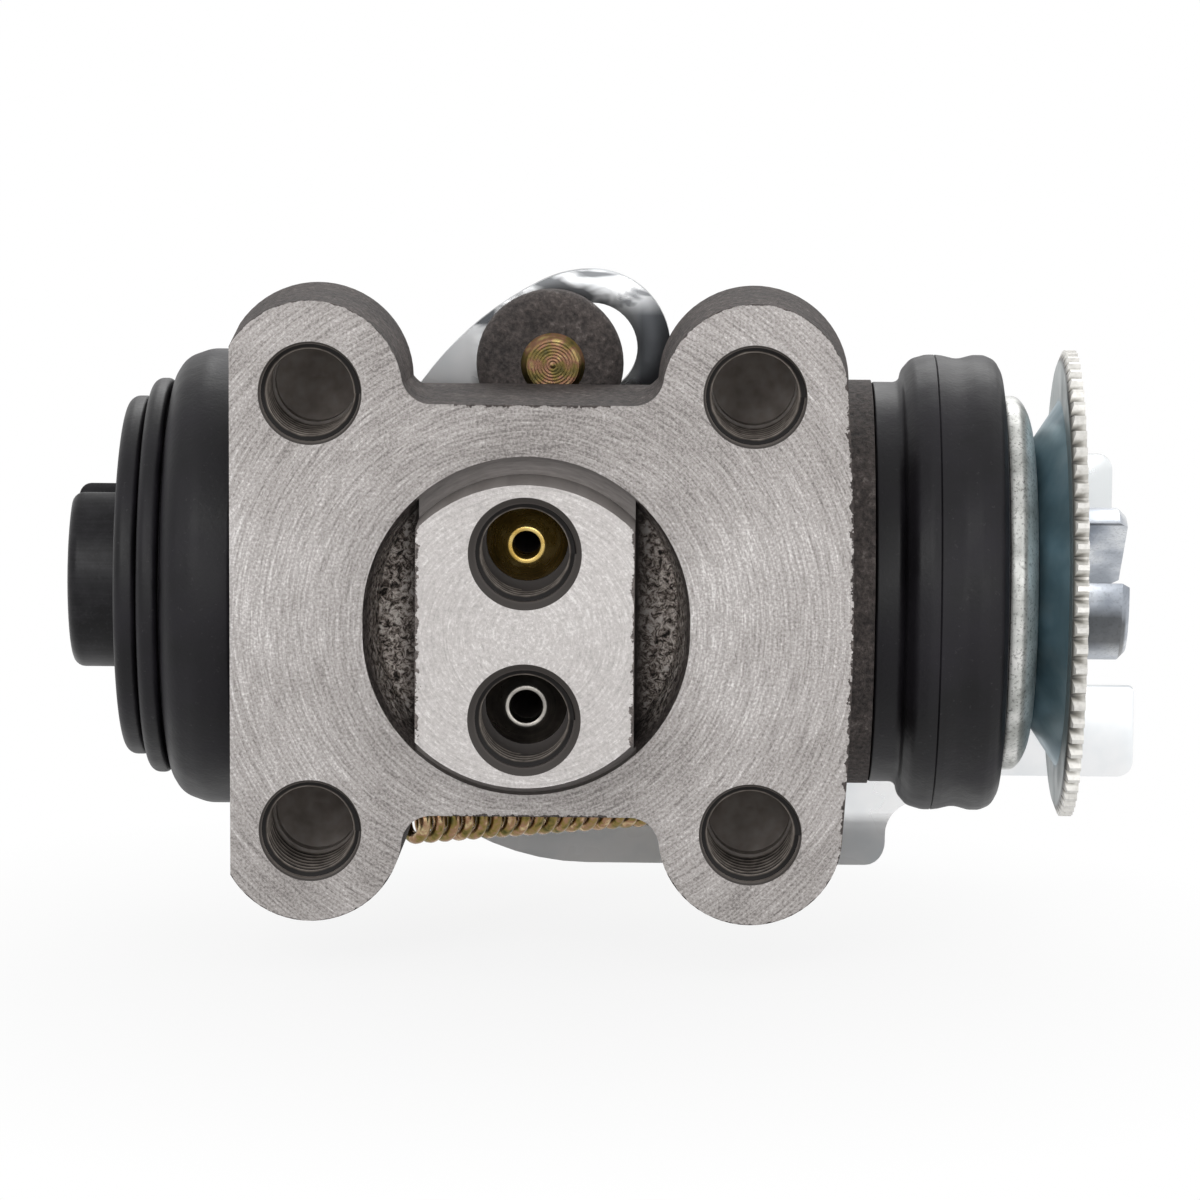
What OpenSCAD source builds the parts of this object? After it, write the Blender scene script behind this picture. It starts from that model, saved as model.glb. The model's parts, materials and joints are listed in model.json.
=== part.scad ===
// Drum brake wheel cylinder with an automatic adjuster.
// Origin at the centre of the bolt pattern, on the mounting face. X runs along the bore towards
// the adjusting wheel, Y runs from the mounting face into the casting, Z is up.

/* [Mounting flange] */
// Distance between the bolt holes along the bore
bolt_pitch_x = 54; // [50:0.5:60]
// Distance between the bolt holes across the bore
bolt_pitch_z = 54; // [52:0.5:60]
// Radius of the bolt holes, to the thread's outer diameter
bolt_r = 6; // [5:0.1:6.5]
// Radius of the drilled end under each thread
drill_r = 5.1; // [4:0.1:5.4]
// Depth of the threaded length of each bolt hole
thread_depth = 13; // [10:0.5:14]
// Thickness of the flange at its four lobes
flange_t = 20; // [19:0.5:22]
// Radius of the four lobes
lobe_r = 11.3; // [10:0.1:12]
// Rounding of the cast rear edge of each lobe
lobe_round = 2.5; // [1:0.1:4]
// How much each lobe widens towards its cast rear
lobe_draft = 0.5; // [0:0.1:1]
// From the bolt row to the machined left edge
left_margin = 9.8; // [9:0.1:11]
// How far the cast right edge bulges past the lobes
right_crown = 1; // [0.5:0.1:2]
// Height of the upper waist above the centre
waist_top = 25.8; // [24.5:0.1:27]
// Depth of the lower waist below the centre
waist_bottom = 25; // [24:0.1:26]
// Fillet between the waists and the lobes
waist_fillet = 3.7; // [2:0.1:5]
// Thickness of the flange between the lobes
web_t = 22; // [20:0.5:24]

/* [Pilot and ports] */
// Sideways place of the pilot on the flange
pilot_x = -0.6; // [-2:0.1:2]
// Height of the pilot on the flange
pilot_z = -1.4; // [-2:0.1:0]
// Radius of the opening in the flange
pilot_r = 20; // [19.4:0.1:21]
// How far the opening's upper and lower rounds lie from its centre
pilot_stretch = 0.9; // [0.2:0.1:1.5]
// Radius of the spigot's turned edges
spigot_r = 18.5; // [17:0.1:19]
// Height of the spigot above the mounting face
spigot_h = 8; // [6:0.5:10]
// Width of the spigot across its flats
spigot_w = 26.4; // [24:0.2:29]
// Depth of the turned groove round the spigot
groove_depth = 2.2; // [1:0.1:3]
// Depth of the cast pockets beside the spigot
pocket_depth = 9; // [6:0.5:10]
// Distance between the two ports
port_pitch = 20.3; // [18:0.1:22]
// Radius of the port threads
port_r = 6; // [5.5:0.1:6.4]
// Radius of the chamfered port mouths
port_mouth_r = 6.85; // [6.6:0.05:7.4]
// Depth of the ports from the spigot's face
port_depth = 13; // [12:0.5:16]
// Radius of the flare seats
seat_r = 5; // [4:0.1:5.3]
// Radius of the nib at the top of the upper seat
inlet_nib_r = 2.3; // [2:0.1:3]
// Radius of the hole through the upper seat
inlet_hole_r = 1.7; // [1:0.1:1.8]
// Radius of the nib at the top of the lower seat
outlet_nib_r = 2.6; // [2.4:0.1:3]
// Radius of the hole through the lower seat
outlet_hole_r = 2; // [1:0.1:2.2]
// Height of the upper seat above the port floor
inlet_seat_h = 5.5; // [4:0.1:7]
// Height of the lower seat above the port floor
outlet_seat_h = 3.5; // [3:0.1:5]

/* [Barrel] */
// Depth of the bore axis behind the mounting face
axis_y = 37.5; // [36.5:0.5:40]
// Height of the bore axis
axis_z = -1.2; // [-2:0.1:0]
// Radius of the bore
bore_r = 16.67; // [15.5:0.01:17.5]
// Outer radius of the barrel
barrel_r = 21.5; // [20.5:0.1:21.8]
// How far the end rims stand above the noses
rim_step = 2.5; // [1.5:0.1:3.5]
// Right face of the right rim
right_end = 42.3; // [41.5:0.1:46]
// Width of each rim
rim_w = 5; // [3:0.5:6]
// Length of the noses that carry the boots
nose_len = 7; // [6:0.5:8]
// Radius of the noses
nose_r = 23.4; // [22.5:0.1:24]

/* [Pivot of the lever] */
// Sideways place of the pivot
pivot_x = 1.95; // [0:0.05:4]
// Height of the pivot above the barrel
pivot_lift = 7.8; // [7.6:0.1:10]
// Front radius of the pivot boss
pivot_boss_r = 9.25; // [8.5:0.05:10]
// Rear radius of the pivot boss
pivot_boss_rear_r = 8.3; // [7.5:0.1:8.5]
// Rounding of the boss's front edge
pivot_boss_round = 2; // [1:0.1:3]
// Sideways offset of the cast boss from the pivot
pivot_boss_shift = -0.4; // [-0.8:0.1:0.8]
// Step from the web to the front face of the pivot boss
pivot_boss_step = 1; // [0.5:0.5:3]
// Length of the pivot boss
pivot_boss_len = 13; // [11:0.5:14]
// Radius of the pivot bolt
pivot_bolt_r = 4; // [3.5:0.1:4.5]
// Outer radius of the pivot bush
bush_r = 5; // [4.8:0.1:5.4]
// Clearance of the washer under the bolt's head above the barrel
washer_gap = 0.4; // [0.3:0.1:1]
// Thickness of that washer
washer_t = 1.5; // [1:0.1:2]
// Size of the bolt's head across its flats
head_af = 13; // [11:0.5:13.5]
// Height of the bolt's head
head_h = 5.3; // [4:0.1:6]

/* [Pistons and seals] */
// Radial running clearance of pistons, cups and adjuster
run_gap = 0.04; // [0.02:0.01:0.08]
// Distance from the centre to the back of each cup
cup_back = 15.5; // [14:0.5:17]
// Length of each cup
cup_len = 5.5; // [4.5:0.1:6.5]
// Thickness of a cup's floor and lip
cup_wall = 2.2; // [1.6:0.1:2.6]
// Outer end of the left piston
left_piston_end = 44; // [42:0.5:45]
// Radius of the pocket for the tappet's shank
tappet_shank_r = 9; // [8:0.1:10]
// Depth of that pocket
tappet_pocket = 16.5; // [12:0.5:18]
// Radius of the left tappet's head
tappet_r = 12.1; // [11:0.1:13]
// How far the left tappet stands out of its boot
tappet_out = 6.9; // [6:0.1:9]
// Width of the shoe slots in tappet and screw
slot_w = 8.5; // [7:0.1:9]
// Depth of the slot in the left tappet
tappet_slot = 7.5; // [5:0.5:9]
// Wire radius of the spring between the cups
cup_spring_wire = 0.8; // [0.5:0.05:1]
// Coil radius of the spring between the cups
cup_spring_r = 8.2; // [7:0.1:9]

/* [Boots] */
// How far the bulges stand above the collars
boot_rise = 3.55; // [3:0.05:4.5]
// Wall of the boots
boot_wall = 1.8; // [1.2:0.1:2.2]
// Thickness of the boot collars on the noses
collar_wall = 2.25; // [2:0.05:3]
// Length of the boot collars
collar_len = 3.6; // [3.2:0.1:4.2]
// Length of the right boot from its rim to the end of its bulge
boot_len = 16.8; // [16:0.1:18.5]
// Length of the left boot's bulge
left_boot_len = 9.9; // [9:0.1:12]
// Rounding of the bulges
bulge_round = 3.3; // [2.6:0.1:4]
// Depth of the dip between the right boot's two humps
hump_dip = 0.45; // [0.2:0.05:1]
// How far the left boot's fold lies below its bulge
fold_step = 3.85; // [3:0.05:5]
// Width of that fold
fold_w = 3.1; // [2:0.1:3.4]
// How far the left boot's outer lip lies below its fold
lip_step = 2.3; // [1.5:0.1:4]
// Width of that lip
lip_w = 2.9; // [2:0.1:4]

/* [Adjuster] */
// Radius of the adjusting wheel over its teeth
wheel_r = 29.9; // [29:0.1:31]
// Number of teeth
wheel_teeth = 72; // [48:2:90]
// Depth of the teeth
tooth_h = 1.15; // [0.8:0.05:1.5]
// Thickness of the wheel
wheel_t = 2; // [1.6:0.1:2.5]
// Radius of the wheel's flat hub
hub_r = 18.3; // [17.5:0.1:19]
// Radius where the dish meets the rim
dish_r = 23.4; // [22.5:0.1:24.5]
// Depth of the dish
dish_depth = 3.4; // [2.5:0.1:4]
// Radius of the boot retainer
retainer_r = 24; // [23:0.1:25]
// Width of the retainer's edge
retainer_w = 1.6; // [1:0.1:2]
// How far the retainer's face is dished out
retainer_dish = 2.3; // [1:0.1:2.6]
// Outer radius of the adjuster sleeve
sleeve_r = 11; // [10:0.1:12]
// Length of the sleeve inside the piston
sleeve_len = 33; // [26:0.5:34]
// Radius of the adjuster screw's thread
screw_r = 7; // [6:0.1:7.6]
// Radius of the screw's forked head
fork_r = 9.75; // [9:0.05:10.5]
// How far the forked head stands past the wheel
fork_out = 6.7; // [5.5:0.1:8]
// Depth of the slot in the forked head
fork_slot = 6; // [4:0.1:6.4]
// Turn of the forked head about its axis
fork_turn = 55; // [0:1:90]

/* [Lever and spring] */
// Sheet thickness of the lever
lever_t = 2; // [1.6:0.1:2.2]
// Clearance of the lever behind the wheel
lever_gap = 1.5; // [1.2:0.1:2.5]
// Side clearance of the lever's eye on its bolt
eye_gap = 0.25; // [0.1:0.05:0.4]
// Length of the slot in the eye, between its end centres
eye_slot = 4.7; // [3:0.1:5]
// Radius round the right end of the eye
eye_r = 10; // [9.2:0.1:10.4]
// Height of the eye's slot above the pivot
eye_lift = 0.7; // [0:0.1:0.8]
// Radius of the shoulder over the eye
shoulder_r = 14.8; // [14:0.1:16]
// Slope where the shoulder runs into the left flank
shoulder_end = 27; // [24:1:32]
// Radius of the lever's left flank
flank_r = 42; // [38:0.5:50]
// Left edge of the lever's neck
neck_left = -17; // [-19:0.5:-15]
// Width of the lever's neck
neck_w = 10.5; // [8:0.5:10.5]
// Height above the barrel where the neck bends back
neck_lift = 2.8; // [2.7:0.1:4]
// How far the neck falls on its way to the rear plate
neck_fall = 8; // [7:0.1:9]
// Bend radius of the neck at the sheet's middle
neck_bend_r = 2; // [1.6:0.1:3]
// Bend radius of the bottom lip at the sheet's middle
bend_r = 3.5; // [2.5:0.1:4.5]
// Left end of the bottom lip
lip_left = -14.4; // [-16:0.2:-13]
// Right end of the bottom lip
lip_right = 46.2; // [42:0.2:50]
// Height where the bottom lip starts to bend
lip_top = -38.8; // [-42:0.2:-37]
// How far the bottom lip reaches below the start of its bend
lip_drop = 5.3; // [4:0.1:6]
// Height of the lower tab's lower edge
low_tab_bottom = -32.4; // [-34:0.2:-30]
// Height of the lower tab's upper edge
low_tab_top = -20.2; // [-23:0.2:-18]
// How far the lower tab reaches past the fork
low_tab_out = 4.3; // [2:0.1:6]
// Height of the upper tab's upper edge
up_tab_top = 11.3; // [9:0.2:12]
// Height of the upper tab's lower edge
up_tab_bottom = -1; // [-4:0.2:3]
// How far the upper tab reaches past the fork
up_tab_out = 0.7; // [0:0.1:2]
// Upper edge of the lever's bottom web
waist_z = -15; // [-17:0.5:-12]
// Wire radius of the lever spring
spring_wire = 0.8; // [0.6:0.05:0.9]
// Coil radius of the lever spring, at the middle of the wire
spring_r = 2.4; // [2:0.1:2.8]
// Number of turns of the lever spring
spring_turns = 21; // [16:1:24]
// Sideways place of the spring's hole in the lever
spring_hole_x = 24; // [20:0.5:28]
// Height of the spring's hole in the lever
spring_hole_z = -35.4; // [-37:0.2:-33]
// Radius of the pin for the spring
pin_r = 1.2; // [1:0.1:1.4]

/* [Hidden] */

$fn = 96;
eps = 0.01;
seat_gap = 0.02;   // small gap of a seated piece
soft_gap = 0.3;    // clearance round the rubber boots
chamfer = 1;       // plain edge chamfer of turned pieces
over = 1;          // how far a cutting shape runs past the piece
tappet_round = 1.6; // rounded edge of the tappet's prongs
drill_run = 2;     // the tap drill runs on past the thread

expander_t = 1;
expander_h = 2.6;
port_floor = port_depth - spigot_h;
seat_foot = 1.5;
left_end = bolt_pitch_x / 2 + left_margin;
left_groove = soft_gap + boot_wall / 2;
rim_r = nose_r + rim_step;
collar_r = nose_r + collar_wall;
boot_r = collar_r + boot_rise;
fold_r = boot_r - fold_step;
lip_r = fold_r - lip_step;
right_groove = collar_len / 2;
groove_w = 1.8;
fold_flat = 0.2;      // flat left between the rounded edges of a fold
groove_h = 1.2;       // depth of the boot grooves
groove_r = nose_r - groove_h;
boot_end = right_end + boot_len;
lip_end = left_end + left_boot_len + fold_w + lip_w;
tappet_end = lip_end + tappet_out;
retainer_face = boot_end + retainer_w + retainer_dish;
wheel_hub_x = retainer_face + soft_gap / 3;
wheel_rim_x = wheel_hub_x + dish_depth;
wheel_end = wheel_rim_x + wheel_t;
fork_end = wheel_end + fork_out;
piston_r = bore_r - run_gap;
bead_step = 1.4;      // step of the right piston that takes the boot's bead
boot_bead_r = piston_r - bead_step;
bead_w = 2.4;
retainer_step = 0.7;  // step of the right piston that takes the ring
retainer_bore_r = boot_bead_r - retainer_step;
retainer_edge = 0.3;  // chamfer of the ring's rim
retainer_lap = 0.2;   // how far the ring's inner land stands past the piston
retainer_land = 2.2;  // width of that land
pocket_floor = boot_end + retainer_w - sleeve_len;
rivet_step = 1.5;     // wall of the sleeve's riveted end
rivet_r = sleeve_r - rivet_step;
screw_room = 4;       // room under the screw's tip when it is screwed in
wheel_wall = 1.1;     // offset of the dish's back from its front
barrel_top = axis_z + barrel_r;
pivot_z = barrel_top + pivot_lift;
pivot_boss_y = web_t + pivot_boss_step;
pivot_tip_y = web_t + soft_gap;
washer_r = pivot_lift - washer_gap;
boss_rear = pivot_boss_y + pivot_boss_len;
eye_y = boss_rear + eye_gap;
bush_len = lever_t + 2 * eye_gap;
lever_y = axis_y + wheel_r + lever_gap;
slot_r = bush_r + eye_lift + 2 * run_gap;
eye_centre = [pivot_x + eye_slot, pivot_z + eye_lift];
eye_clear = 1.6;      // clearance of the eye over the barrel
eye_low = barrel_top + eye_clear;
neck_top = barrel_top + neck_lift;
neck_foot = neck_top - neck_fall;
neck_right = neck_left + neck_w;
neck_slope = atan((neck_top - neck_foot) / (lever_y - eye_y));
rear_top = neck_foot - neck_bend_r * tan(45 - neck_slope / 2);
pin_in = 6.7;         // place of the spring's pin from the lower left bolt hole
pin_down = 5.3;
pin_at = [-bolt_pitch_x / 2 + pin_in, -bolt_pitch_z / 2 - pin_down];
pin_out = 6;
plate_turn_z = -8;    // where the plate's left edge starts to slant
plate_curve = 30;
lip_rise = 5.6;       // how far the lip's left end lies above its lower edge
lip_run = 10.4;       // length of that rise
lip_curve = 40;
lip_end_r = 3;
lip_corner_r = 2.8;
tab_fall = 5.3;       // how far the plate's right edge lies under the lower tab
tab_run = 12;
tab_inner_r = 4.7;
tab_curve = 9;
low_tab_r = 2.1;
up_tab_r = 1.9;
notch_r = 3;
arm_curve = 9;
web_run = 14;         // from the neck to the straight upper edge of the bottom web
web_rise = 21;
pawl_gap = 0.4;       // clearance of the pawl from the teeth
hook_gap = 0.15;      // clearance of the spring's hook on its pin

// A turned piece on the bore axis, from a flat shape drawn with radius across and X up
module turned() {
    translate([0, axis_y, axis_z])
        rotate([0, 90, 0])
            rotate_extrude()
                children();
}

// A turned piece from a list of [x, radius] corners
module turned_profile(corners) {
    turned()
        polygon([for (c = corners) [c[1], c[0]]]);
}

// Puts a piece made along Z on an axis parallel to Y, pointing into the casting
module along_y(x, y, z) {
    translate([x, y, z])
        rotate([-90, 0, 0])
            children();
}

// Extrudes a flat X Z shape into the casting, from depth y
module sheet(y, t) {
    translate([0, y + t, 0])
        rotate([90, 0, 0])
            linear_extrude(t)
                children();
}

// Rounds the corners of an outline: each point is [across, up, radius]
function unit(v) = v / norm(v);
function corner_arc(a, b, c, r, steps) =
    let (u = unit(a - b), v = unit(c - b))
    let (half = acos(max(-1, min(1, u * v))) / 2)
    let (reach = r / tan(half), centre = b + unit(u + v) * r / sin(half))
    let (p = b + u * reach, q = b + v * reach)
    [for (i = [0 : steps])
        let (w = unit((p - centre) * sin((1 - i / steps) * (180 - 2 * half))
                      + (q - centre) * sin(i / steps * (180 - 2 * half))))
        centre + w * r];
function flat(p) = [p[0], p[1]];
function softened(pts, steps = 6) =
    let (n = len(pts))
    [for (i = [0 : n - 1])
        each pts[i][2] > 0
            ? corner_arc(flat(pts[(i + n - 1) % n]), flat(pts[i]), flat(pts[(i + 1) % n]), pts[i][2], steps)
            : [flat(pts[i])]];

// Rounds the bends of an open path and gives it the thickness of the sheet
function bent_path(pts, r, steps = 6) =
    let (n = len(pts))
    [for (i = [0 : n - 1])
        each i == 0 || i == n - 1 ? [pts[i]] : corner_arc(pts[i - 1], pts[i], pts[i + 1], r, steps)];
function side(a, b) = let (d = unit(b - a)) [-d[1], d[0]];
function path_normal(p, i) =
    i == 0 ? side(p[0], p[1])
    : i == len(p) - 1 ? side(p[i - 1], p[i])
    : let (m = unit(side(p[i - 1], p[i]) + side(p[i], p[i + 1]))) m / (m * side(p[i], p[i + 1]));
function thickened(p, t) =
    concat([for (i = [0 : len(p) - 1]) p[i] + path_normal(p, i) * t / 2],
           [for (i = [len(p) - 1 : -1 : 0]) p[i] - path_normal(p, i) * t / 2]);

// A wire of round section swept along a path of points
function tangent(p, i) = unit(p[min(i + 1, len(p) - 1)] - p[max(i - 1, 0)]);
function any_normal(t) = unit(cross(t, abs(t[2]) < 0.9 ? [0, 0, 1] : [1, 0, 0]));
function carried(p) =
    [for (i = 0, n = any_normal(tangent(p, 0));
          i < len(p);
          i = i + 1, n = i < len(p) ? unit(n - tangent(p, i) * (n * tangent(p, i))) : n) n];
module wire(p, r, sides = 8) {
    normals = carried(p);
    last = len(p) - 1;
    points = [for (i = [0 : last])
                 for (k = [0 : sides - 1])
                     p[i] + r * (normals[i] * cos(360 * k / sides)
                                 + cross(tangent(p, i), normals[i]) * sin(360 * k / sides))];
    walls = [for (i = [0 : last - 1])
                 for (k = [0 : sides - 1])
                     [i * sides + k, i * sides + (k + 1) % sides,
                      (i + 1) * sides + (k + 1) % sides, (i + 1) * sides + k]];
    caps = [[for (k = [sides - 1 : -1 : 0]) k], [for (k = [0 : sides - 1]) last * sides + k]];
    polyhedron(points, concat(walls, caps), convexity = 10);
}

// Outline of the flange: lobes, waists with their fillets, straight left edge and crowned right edge
module waist_corner(sx, sz, waist) {
    lobe = [sx * bolt_pitch_x / 2, sz * bolt_pitch_z / 2];
    fillet_z = sz * (waist + waist_fillet);
    reach = sqrt(pow(lobe_r + waist_fillet, 2) - pow(fillet_z - lobe[1], 2));
    fillet = [lobe[0] - sx * reach, fillet_z];
    difference() {
        polygon([lobe, fillet, [fillet[0], sz * waist], [lobe[0], sz * waist]]);
        translate(fillet)
            circle(waist_fillet + seat_gap);
    }
}
module flange_bounds(spread) {
    crown_z = bolt_pitch_z / 2;
    crown_r = (crown_z * crown_z + right_crown * right_crown) / (2 * right_crown);
    right = bolt_pitch_x / 2 + lobe_r + right_crown + spread;
    tall = bolt_pitch_z + 4 * lobe_r;
    intersection() {
        translate([-bolt_pitch_x / 2 - left_margin, -tall / 2])
            square([2 * right, tall]);
        translate([right - crown_r, 0])
            circle(crown_r, $fn = 400);
    }
}
module flange_outline() {
    wide = bolt_pitch_x + 4 * lobe_r;
    intersection() {
        union() {
            for (sx = [-1, 1])
                for (sz = [-1, 1])
                    translate([sx * bolt_pitch_x / 2, sz * bolt_pitch_z / 2])
                        circle(lobe_r);
            translate([-wide / 2, -waist_bottom])
                square([wide, waist_top + waist_bottom]);
            for (sx = [-1, 1])
                translate([sx > 0 ? bolt_pitch_x / 2 : -wide / 2, -bolt_pitch_z / 2])
                    square([wide / 2 - bolt_pitch_x / 2, bolt_pitch_z]);
            for (sx = [-1, 1]) {
                waist_corner(sx, 1, waist_top);
                waist_corner(sx, -1, waist_bottom);
            }
        }
        flange_bounds(0);
    }
}
module lobe_backs() {
    rear_r = lobe_r + lobe_draft;
    edge_r = rear_r - lobe_round;
    edge_y = flange_t - lobe_round;
    intersection() {
        for (sx = [-1, 1])
            for (sz = [-1, 1])
                along_y(sx * bolt_pitch_x / 2, 0, sz * bolt_pitch_z / 2)
                    rotate_extrude() {
                        polygon([[0, 0], [lobe_r, 0], [rear_r, edge_y], [edge_r, edge_y], [edge_r, flange_t],
                                 [0, flange_t]]);
                        translate([edge_r, edge_y])
                            intersection() {
                                circle(lobe_round);
                                square(lobe_round);
                            }
                    }
        sheet(0, flange_t)
            flange_bounds(lobe_draft);
    }
}
module bolt_hole() {
    mouth = (bolt_r - drill_r) / 3;
    translate([0, 0, -eps])
        cylinder(r = bolt_r, h = thread_depth + eps);
    translate([0, 0, -eps])
        cylinder(r1 = bolt_r + mouth, r2 = bolt_r, h = mouth + eps);
    cylinder(r = drill_r, h = thread_depth + drill_run);
    translate([0, 0, thread_depth + drill_run])
        cylinder(r1 = drill_r, r2 = 0, h = drill_r * tan(31));
}

// Casting
module pivot_boss() {
    boss_x = pivot_x + pivot_boss_shift;
    along_y(boss_x, pivot_boss_y, pivot_z)
        rotate_extrude() {
            polygon([[0, 0], [pivot_boss_r - pivot_boss_round, 0], [pivot_boss_r, pivot_boss_round],
                     [pivot_boss_rear_r, pivot_boss_len], [0, pivot_boss_len]]);
            translate([pivot_boss_r - pivot_boss_round, pivot_boss_round])
                circle(pivot_boss_round);
        }
    translate([boss_x - pivot_boss_rear_r, pivot_boss_y + pivot_boss_round, axis_z])
        cube([2 * pivot_boss_rear_r, pivot_boss_len - pivot_boss_round, pivot_z - axis_z]);
}
module barrel() {
    right_nose = right_end + nose_len;
    left_nose = left_end + nose_len;
    turned_profile([[-left_nose, 0], [-left_nose, nose_r - chamfer], [-left_nose + chamfer, nose_r],
                    [-left_end, nose_r], [-left_end, rim_r], [-left_end + rim_w, rim_r],
                    [-left_end + rim_w + rim_r - barrel_r, barrel_r],
                    [right_end - rim_w - rim_r + barrel_r, barrel_r], [right_end - rim_w, rim_r],
                    [right_end, rim_r], [right_end, nose_r], [right_nose - chamfer, nose_r],
                    [right_nose, nose_r - chamfer], [right_nose, 0]]);
}
module boot_groove(x) {
    turned()
        translate([groove_r, x - groove_w / 2])
            square([nose_r - groove_r + eps, groove_w]);
}
// Round form with two flats, which the spigot has above the groove and the pockets
module spigot_form(h) {
    intersection() {
        cylinder(r = spigot_r, h = h);
        translate([-spigot_w / 2, -spigot_r, 0])
            cube([spigot_w, 2 * spigot_r, h]);
    }
}
// Upper and lower round of the opening in the flange, which together make it a little taller than wide
module pilot_rounds(r1, r2, h) {
    for (side = [-1, 1])
        translate([0, side * pilot_stretch, 0])
            cylinder(r1 = r1, r2 = r2, h = h);
}
module pilot_opening() {
    pocket_draft = 1.6;
    groove_half = spigot_w / 2 + soft_gap;
    along_y(pilot_x, 0, pilot_z) {
        difference() {
            intersection() {
                translate([0, 0, -over])
                    pilot_rounds(pilot_r, pilot_r, groove_depth + over);
                translate([-groove_half, -2 * pilot_r, -over])
                    cube([2 * groove_half, 4 * pilot_r, groove_depth + over]);
            }
            translate([0, 0, -2 * over])
                spigot_form(groove_depth + 4 * over);
        }
        difference() {
            translate([0, 0, -over])
                pilot_rounds(pilot_r + pocket_draft * over / pocket_depth, pilot_r - pocket_draft,
                             pocket_depth + over);
            translate([-spigot_w / 2, -2 * pilot_r, -2 * over])
                cube([spigot_w, 4 * pilot_r, pocket_depth + 4 * over]);
        }
    }
}
// Port with its thread, the relief under the thread, the bed of the seat and the passage to the bore
module port(side, seat_h, hole_r) {
    port_z = pilot_z + side * port_pitch / 2;
    mouth = port_mouth_r - port_r;
    thread_len = port_depth - seat_h - soft_gap;
    bore_y = axis_y - sqrt(pow(bore_r, 2) - pow(port_z - axis_z, 2));
    along_y(pilot_x, -spigot_h, port_z) {
        translate([0, 0, -eps])
            cylinder(r = port_r, h = thread_len + 2 * eps);
        translate([0, 0, -eps])
            cylinder(r1 = port_mouth_r, r2 = port_r, h = mouth);
        translate([0, 0, thread_len])
            cylinder(r = port_r + soft_gap, h = port_depth - seat_foot - thread_len);
        cylinder(r = seat_r + seat_gap, h = port_depth);
        cylinder(r = hole_r, h = spigot_h + bore_y + 2 * over);
    }
}
module cylinder_body() {
    color("#8a8684")
        difference() {
            union() {
                sheet(0, flange_t - lobe_round)
                    flange_outline();
                lobe_backs();
                intersection() {
                    sheet(0, web_t)
                        flange_outline();
                    translate([-bolt_pitch_x, 0, -waist_bottom])
                        cube([2 * bolt_pitch_x, web_t, waist_top + waist_bottom]);
                }
                barrel();
                pivot_boss();
                along_y(pilot_x, -spigot_h, pilot_z)
                    spigot_form(spigot_h + web_t);
            }
            pilot_opening();
            turned_profile([[-left_end - nose_len - over, 0], [-left_end - nose_len - over, bore_r],
                            [right_end + nose_len + over, bore_r], [right_end + nose_len + over, 0]]);
            boot_groove(right_end + right_groove);
            boot_groove(-left_end - left_groove);
            for (sx = [-1, 1])
                for (sz = [-1, 1])
                    along_y(sx * bolt_pitch_x / 2, 0, sz * bolt_pitch_z / 2)
                        bolt_hole();
            port(1, inlet_seat_h, inlet_hole_r);
            port(-1, outlet_seat_h, outlet_hole_r);
            along_y(pivot_x, pivot_boss_y - eps, pivot_z)
                cylinder(r = pivot_bolt_r + seat_gap, h = pivot_boss_len + 2 * eps);
            along_y(pin_at[0], flange_t - pin_out, pin_at[1])
                cylinder(r = pin_r + seat_gap, h = pin_out + eps);
        }
}

// Flare seats at the bottom of the ports
module flare_seat(side, h, nib_r, hole_r) {
    along_y(pilot_x, port_floor - h, pilot_z + side * port_pitch / 2)
        difference() {
            union() {
                cylinder(r1 = nib_r, r2 = seat_r, h = h - seat_foot);
                translate([0, 0, h - seat_foot])
                    cylinder(r = seat_r, h = seat_foot);
            }
            translate([0, 0, -over])
                cylinder(r = hole_r, h = h + 2 * over);
        }
}
module inlet_seat() {
    color("#b8933f")
        flare_seat(1, inlet_seat_h, inlet_nib_r, inlet_hole_r);
}
module outlet_seat() {
    color("#b9bcc0")
        flare_seat(-1, outlet_seat_h, outlet_nib_r, outlet_hole_r);
}

// Shoe slot across the end of a tappet or screw, its mid plane turned about the bore axis
module shoe_slot(x0, x1, turn) {
    translate([x0, axis_y, axis_z])
        rotate([-turn, 0, 0])
            translate([0, -slot_w / 2, -2 * tappet_r])
                cube([x1 - x0, slot_w, 4 * tappet_r]);
}

// Left piston, its tappet and seal
module left_piston() {
    pocket = left_piston_end - tappet_pocket;
    color("#b4b6b8")
        turned_profile([[-cup_back, 0], [-cup_back, piston_r], [-left_piston_end + 2 * chamfer, piston_r],
                        [-left_piston_end, piston_r - 2 * chamfer],
                        [-left_piston_end, tappet_shank_r + seat_gap], [-pocket, tappet_shank_r + seat_gap],
                        [-pocket, 0]]);
}
module left_tappet() {
    pocket = left_piston_end - tappet_pocket;
    color("#232225")
        difference() {
            turned_profile(softened([[-pocket, 0, 0], [-pocket, tappet_shank_r, 0],
                                     [-left_piston_end, tappet_shank_r, 0],
                                     [-left_piston_end, tappet_r, chamfer],
                                     [-tappet_end, tappet_r, tappet_round], [-tappet_end, 0, 0]]));
            shoe_slot(-tappet_end - over, -tappet_end + tappet_slot, 0);
        }
}
module cup(dir) {
    face = cup_back - cup_len;
    floor_x = cup_back - cup_wall;
    turned_profile([for (c = [[cup_back, 0], [cup_back, piston_r], [face, piston_r],
                              [face, piston_r - cup_wall / 2], [floor_x, piston_r - 1.5 * cup_wall],
                              [floor_x, 0]]) [dir * c[0], c[1]]]);
}
module left_cup() {
    color("#1f1f21")
        cup(-1);
}
module right_cup() {
    color("#1f1f21")
        cup(1);
}
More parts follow.
